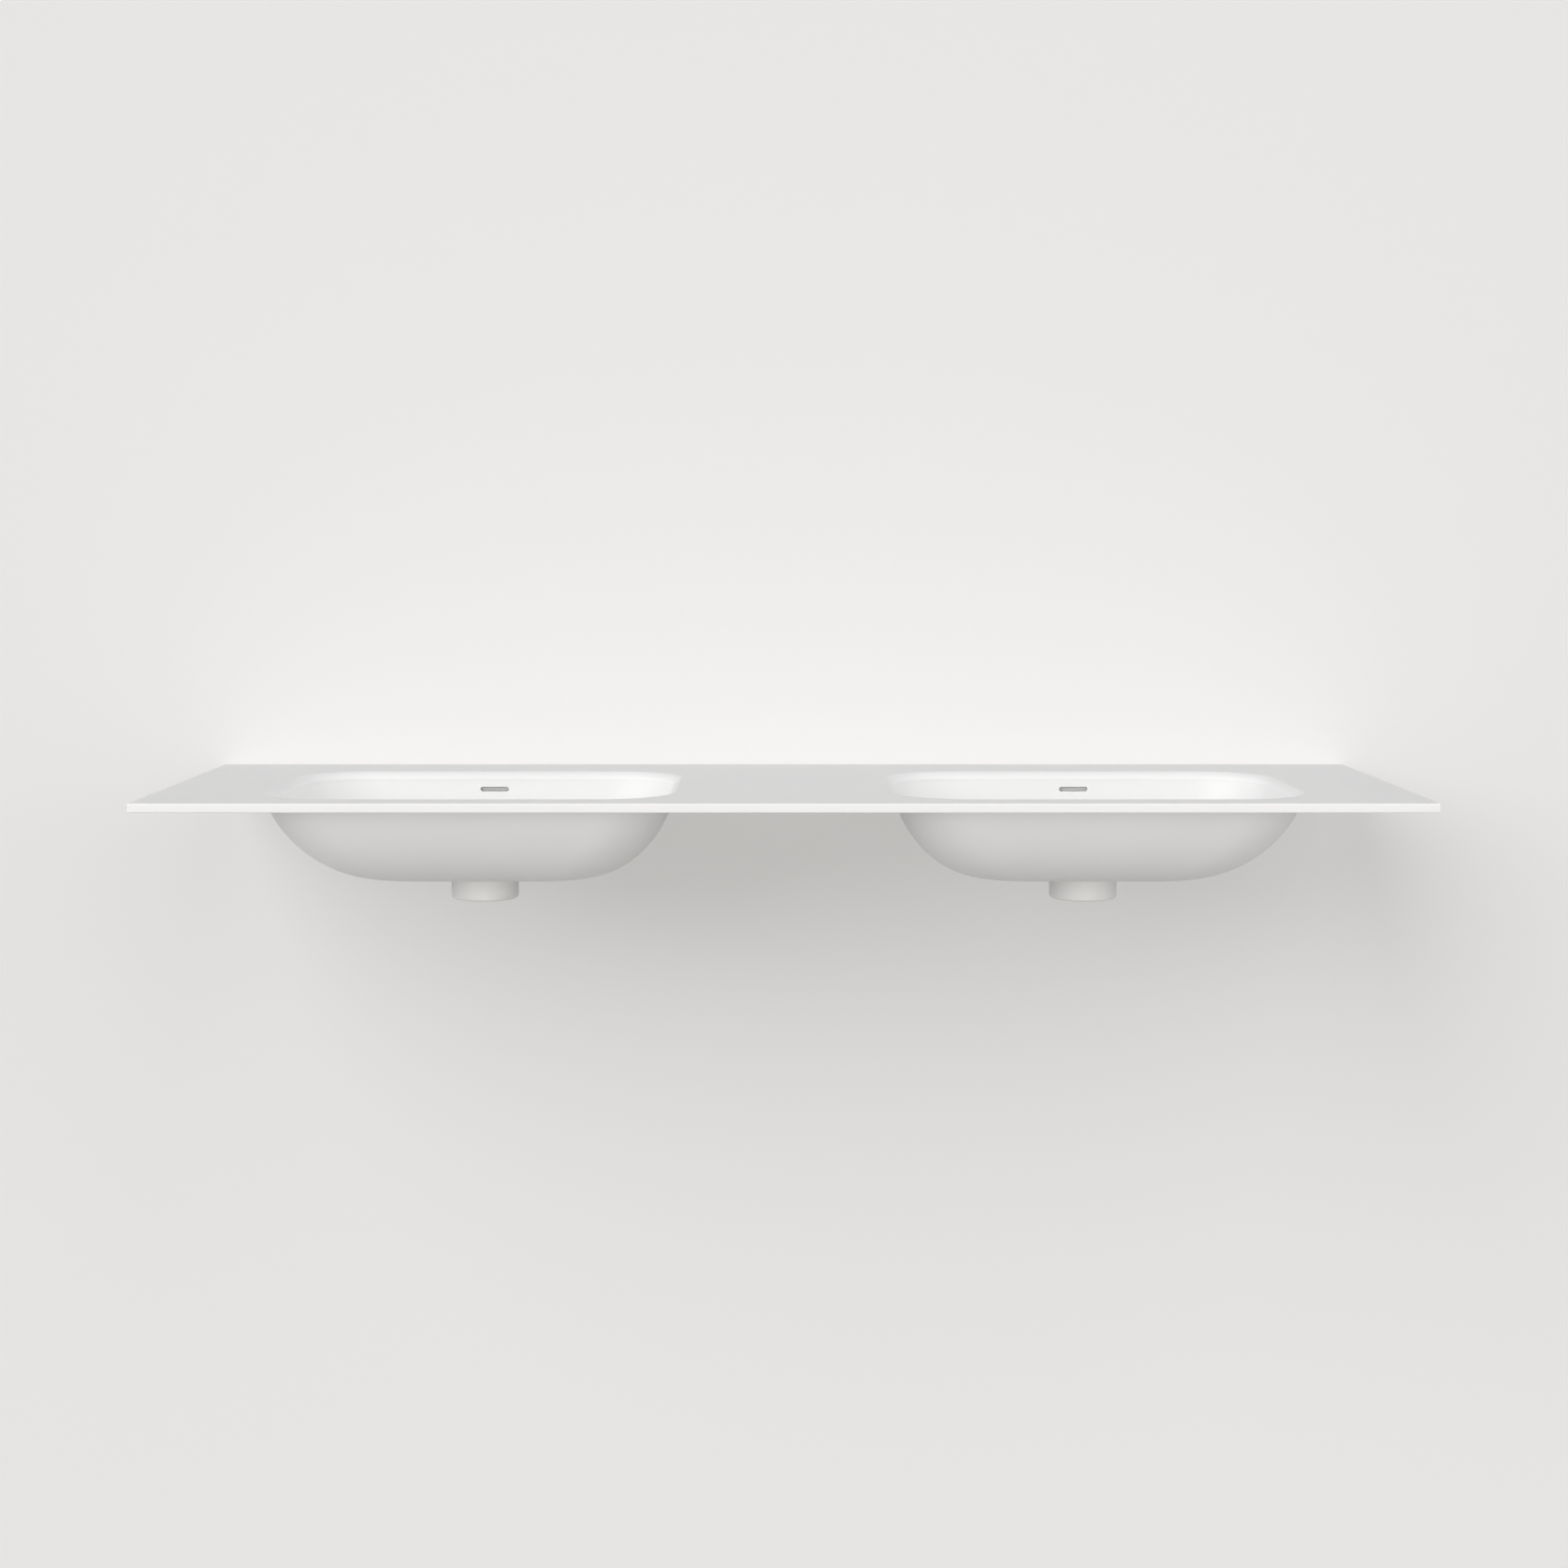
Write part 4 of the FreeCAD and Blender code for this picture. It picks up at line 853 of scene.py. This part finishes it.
def make_ground(name, corners):
    """A flat pale ground through four corners, which bounces no light and casts no shadow."""
    mesh = bpy.data.meshes.new(name)
    mesh.from_pydata(corners, [], [(0, 1, 2, 3)])
    mesh.materials.append(pale_finish(name, GROUND_COLOUR, GROUND_GLOW))
    ground = bpy.data.objects.new(name, mesh)
    bpy.context.scene.collection.objects.link(ground)
    ground.visible_diffuse = False
    ground.visible_shadow = False
    return ground


def make_sky():
    """The sky: pale to the eye and in reflections, and for the light itself a level for each direction.

    In front it falls from the room's level to the top's. Behind it rises to a bright band and falls
    to the top's level above that. Its lower part is a little warm.
    """
    world = bpy.data.worlds.new("studio")
    bpy.context.scene.world = world
    world.use_nodes = True
    sky = world.node_tree
    sky.nodes.clear()
    way = put(sky, "ShaderNodeLightPath")
    seen = sums(sky, "MAXIMUM", way.outputs["Is Camera Ray"], way.outputs["Is Glossy Ray"])
    heading = put(sky, "ShaderNodeTexCoord").outputs["Generated"]
    across = put(sky, "ShaderNodeSeparateXYZ", [(0, heading)]).outputs

    def step(axis, start, end, low, high):
        """A level that goes from low to high as the direction along one axis goes from start to end."""
        links = [("Value", across[axis]), ("From Min", start), ("From Max", end)]
        links += [("To Min", low), ("To Max", high)]
        return put(sky, "ShaderNodeMapRange", links).outputs[0]

    room = step("Z", 0.0, 0.65, ROOM_LEVEL, SKY_TOP)
    behind_low = step("Z", -0.3, 0.3, BACK_LOW, BACK_LEVEL)
    behind_high = step("Z", 0.35, 0.65, 0.0, SKY_TOP - BACK_LEVEL)
    behind = sums(sky, "ADD", behind_low, behind_high)
    facing = step("Y", -0.8, -0.1, 1.0, 0.0)
    level = sums(sky, "MULTIPLY_ADD", facing, sums(sky, "SUBTRACT", room, behind), behind)
    colour = tint(sky, step("Z", -0.3, 0.3, 0.0, 1.0), WARM, WHITE)
    fill = put(sky, "ShaderNodeBackground", [("Color", colour), ("Strength", level)])
    pale = put(sky, "ShaderNodeBackground", [("Color", (*PALE, 1)), ("Strength", 1.0)])
    blend = put(sky, "ShaderNodeMixShader", [(0, seen), (1, fill.outputs[0]), (2, pale.outputs[0])])
    put(sky, "ShaderNodeOutputWorld", [("Surface", blend.outputs[0])])


def soft_sun(name, towards, spread_angle, level, colour):
    """A broad even light from one direction; a white face square to it gains this level."""
    data = bpy.data.lights.new(name, "SUN")
    data.angle, data.energy, data.color = math.radians(spread_angle), level * math.pi, colour
    lamp = bpy.data.objects.new(name, data)
    bpy.context.scene.collection.objects.link(lamp)
    x, y, z = towards
    lamp.rotation_euler = (math.atan2(math.hypot(x, y), z), 0, math.atan2(y, x) + math.pi / 2)
    return lamp


def keep_off(lamp, grounds):
    """Keeps a lamp's light, and its shadows, off the grounds."""
    receivers = bpy.data.collections.new("grounds")
    for ground in grounds:
        receivers.objects.link(ground)
    for receiver in receivers.collection_objects:
        receiver.light_linking.link_state = "EXCLUDE"
    lamp.light_linking.receiver_collection = receivers


def make_camera():
    """The photograph's view: level across, tilted a little down."""
    view = bpy.data.cameras.new("photo_view")
    view.sensor_width = SENSOR_WIDTH
    view.lens = SENSOR_WIDTH * FOCAL_PIXELS / PHOTO_PIXELS
    camera = bpy.data.objects.new("photo_view", view)
    bpy.context.scene.collection.objects.link(camera)
    camera.location = CAMERA_PLACE
    camera.rotation_euler = (math.radians(90 - CAMERA_TILT), 0, 0)
    bpy.context.scene.camera = camera


wall = make_ground("pale_wall", [
    (-REACH, WALL_Y, FLOOR_Z), (REACH, WALL_Y, FLOOR_Z), (REACH, WALL_Y, REACH), (-REACH, WALL_Y, REACH)])
floor = make_ground("pale_floor", [
    (-REACH, -REACH, FLOOR_Z), (REACH, -REACH, FLOOR_Z), (REACH, REACH, FLOOR_Z), (-REACH, REACH, FLOOR_Z)])
make_sky()
soft_sun("key", towards=(-0.6, -0.62, 0.5), spread_angle=55, level=0.6, colour=WHITE)
low_fill = soft_sun("front_fill", towards=(0.0, -1.0, -0.29), spread_angle=80, level=0.43, colour=WARM)
soft_sun("side_fill", towards=(0.75, -0.3, 0.58), spread_angle=80, level=0.4, colour=WHITE)
keep_off(low_fill, (wall, floor))
make_camera()
bpy.context.scene.view_settings.view_transform = "Standard"
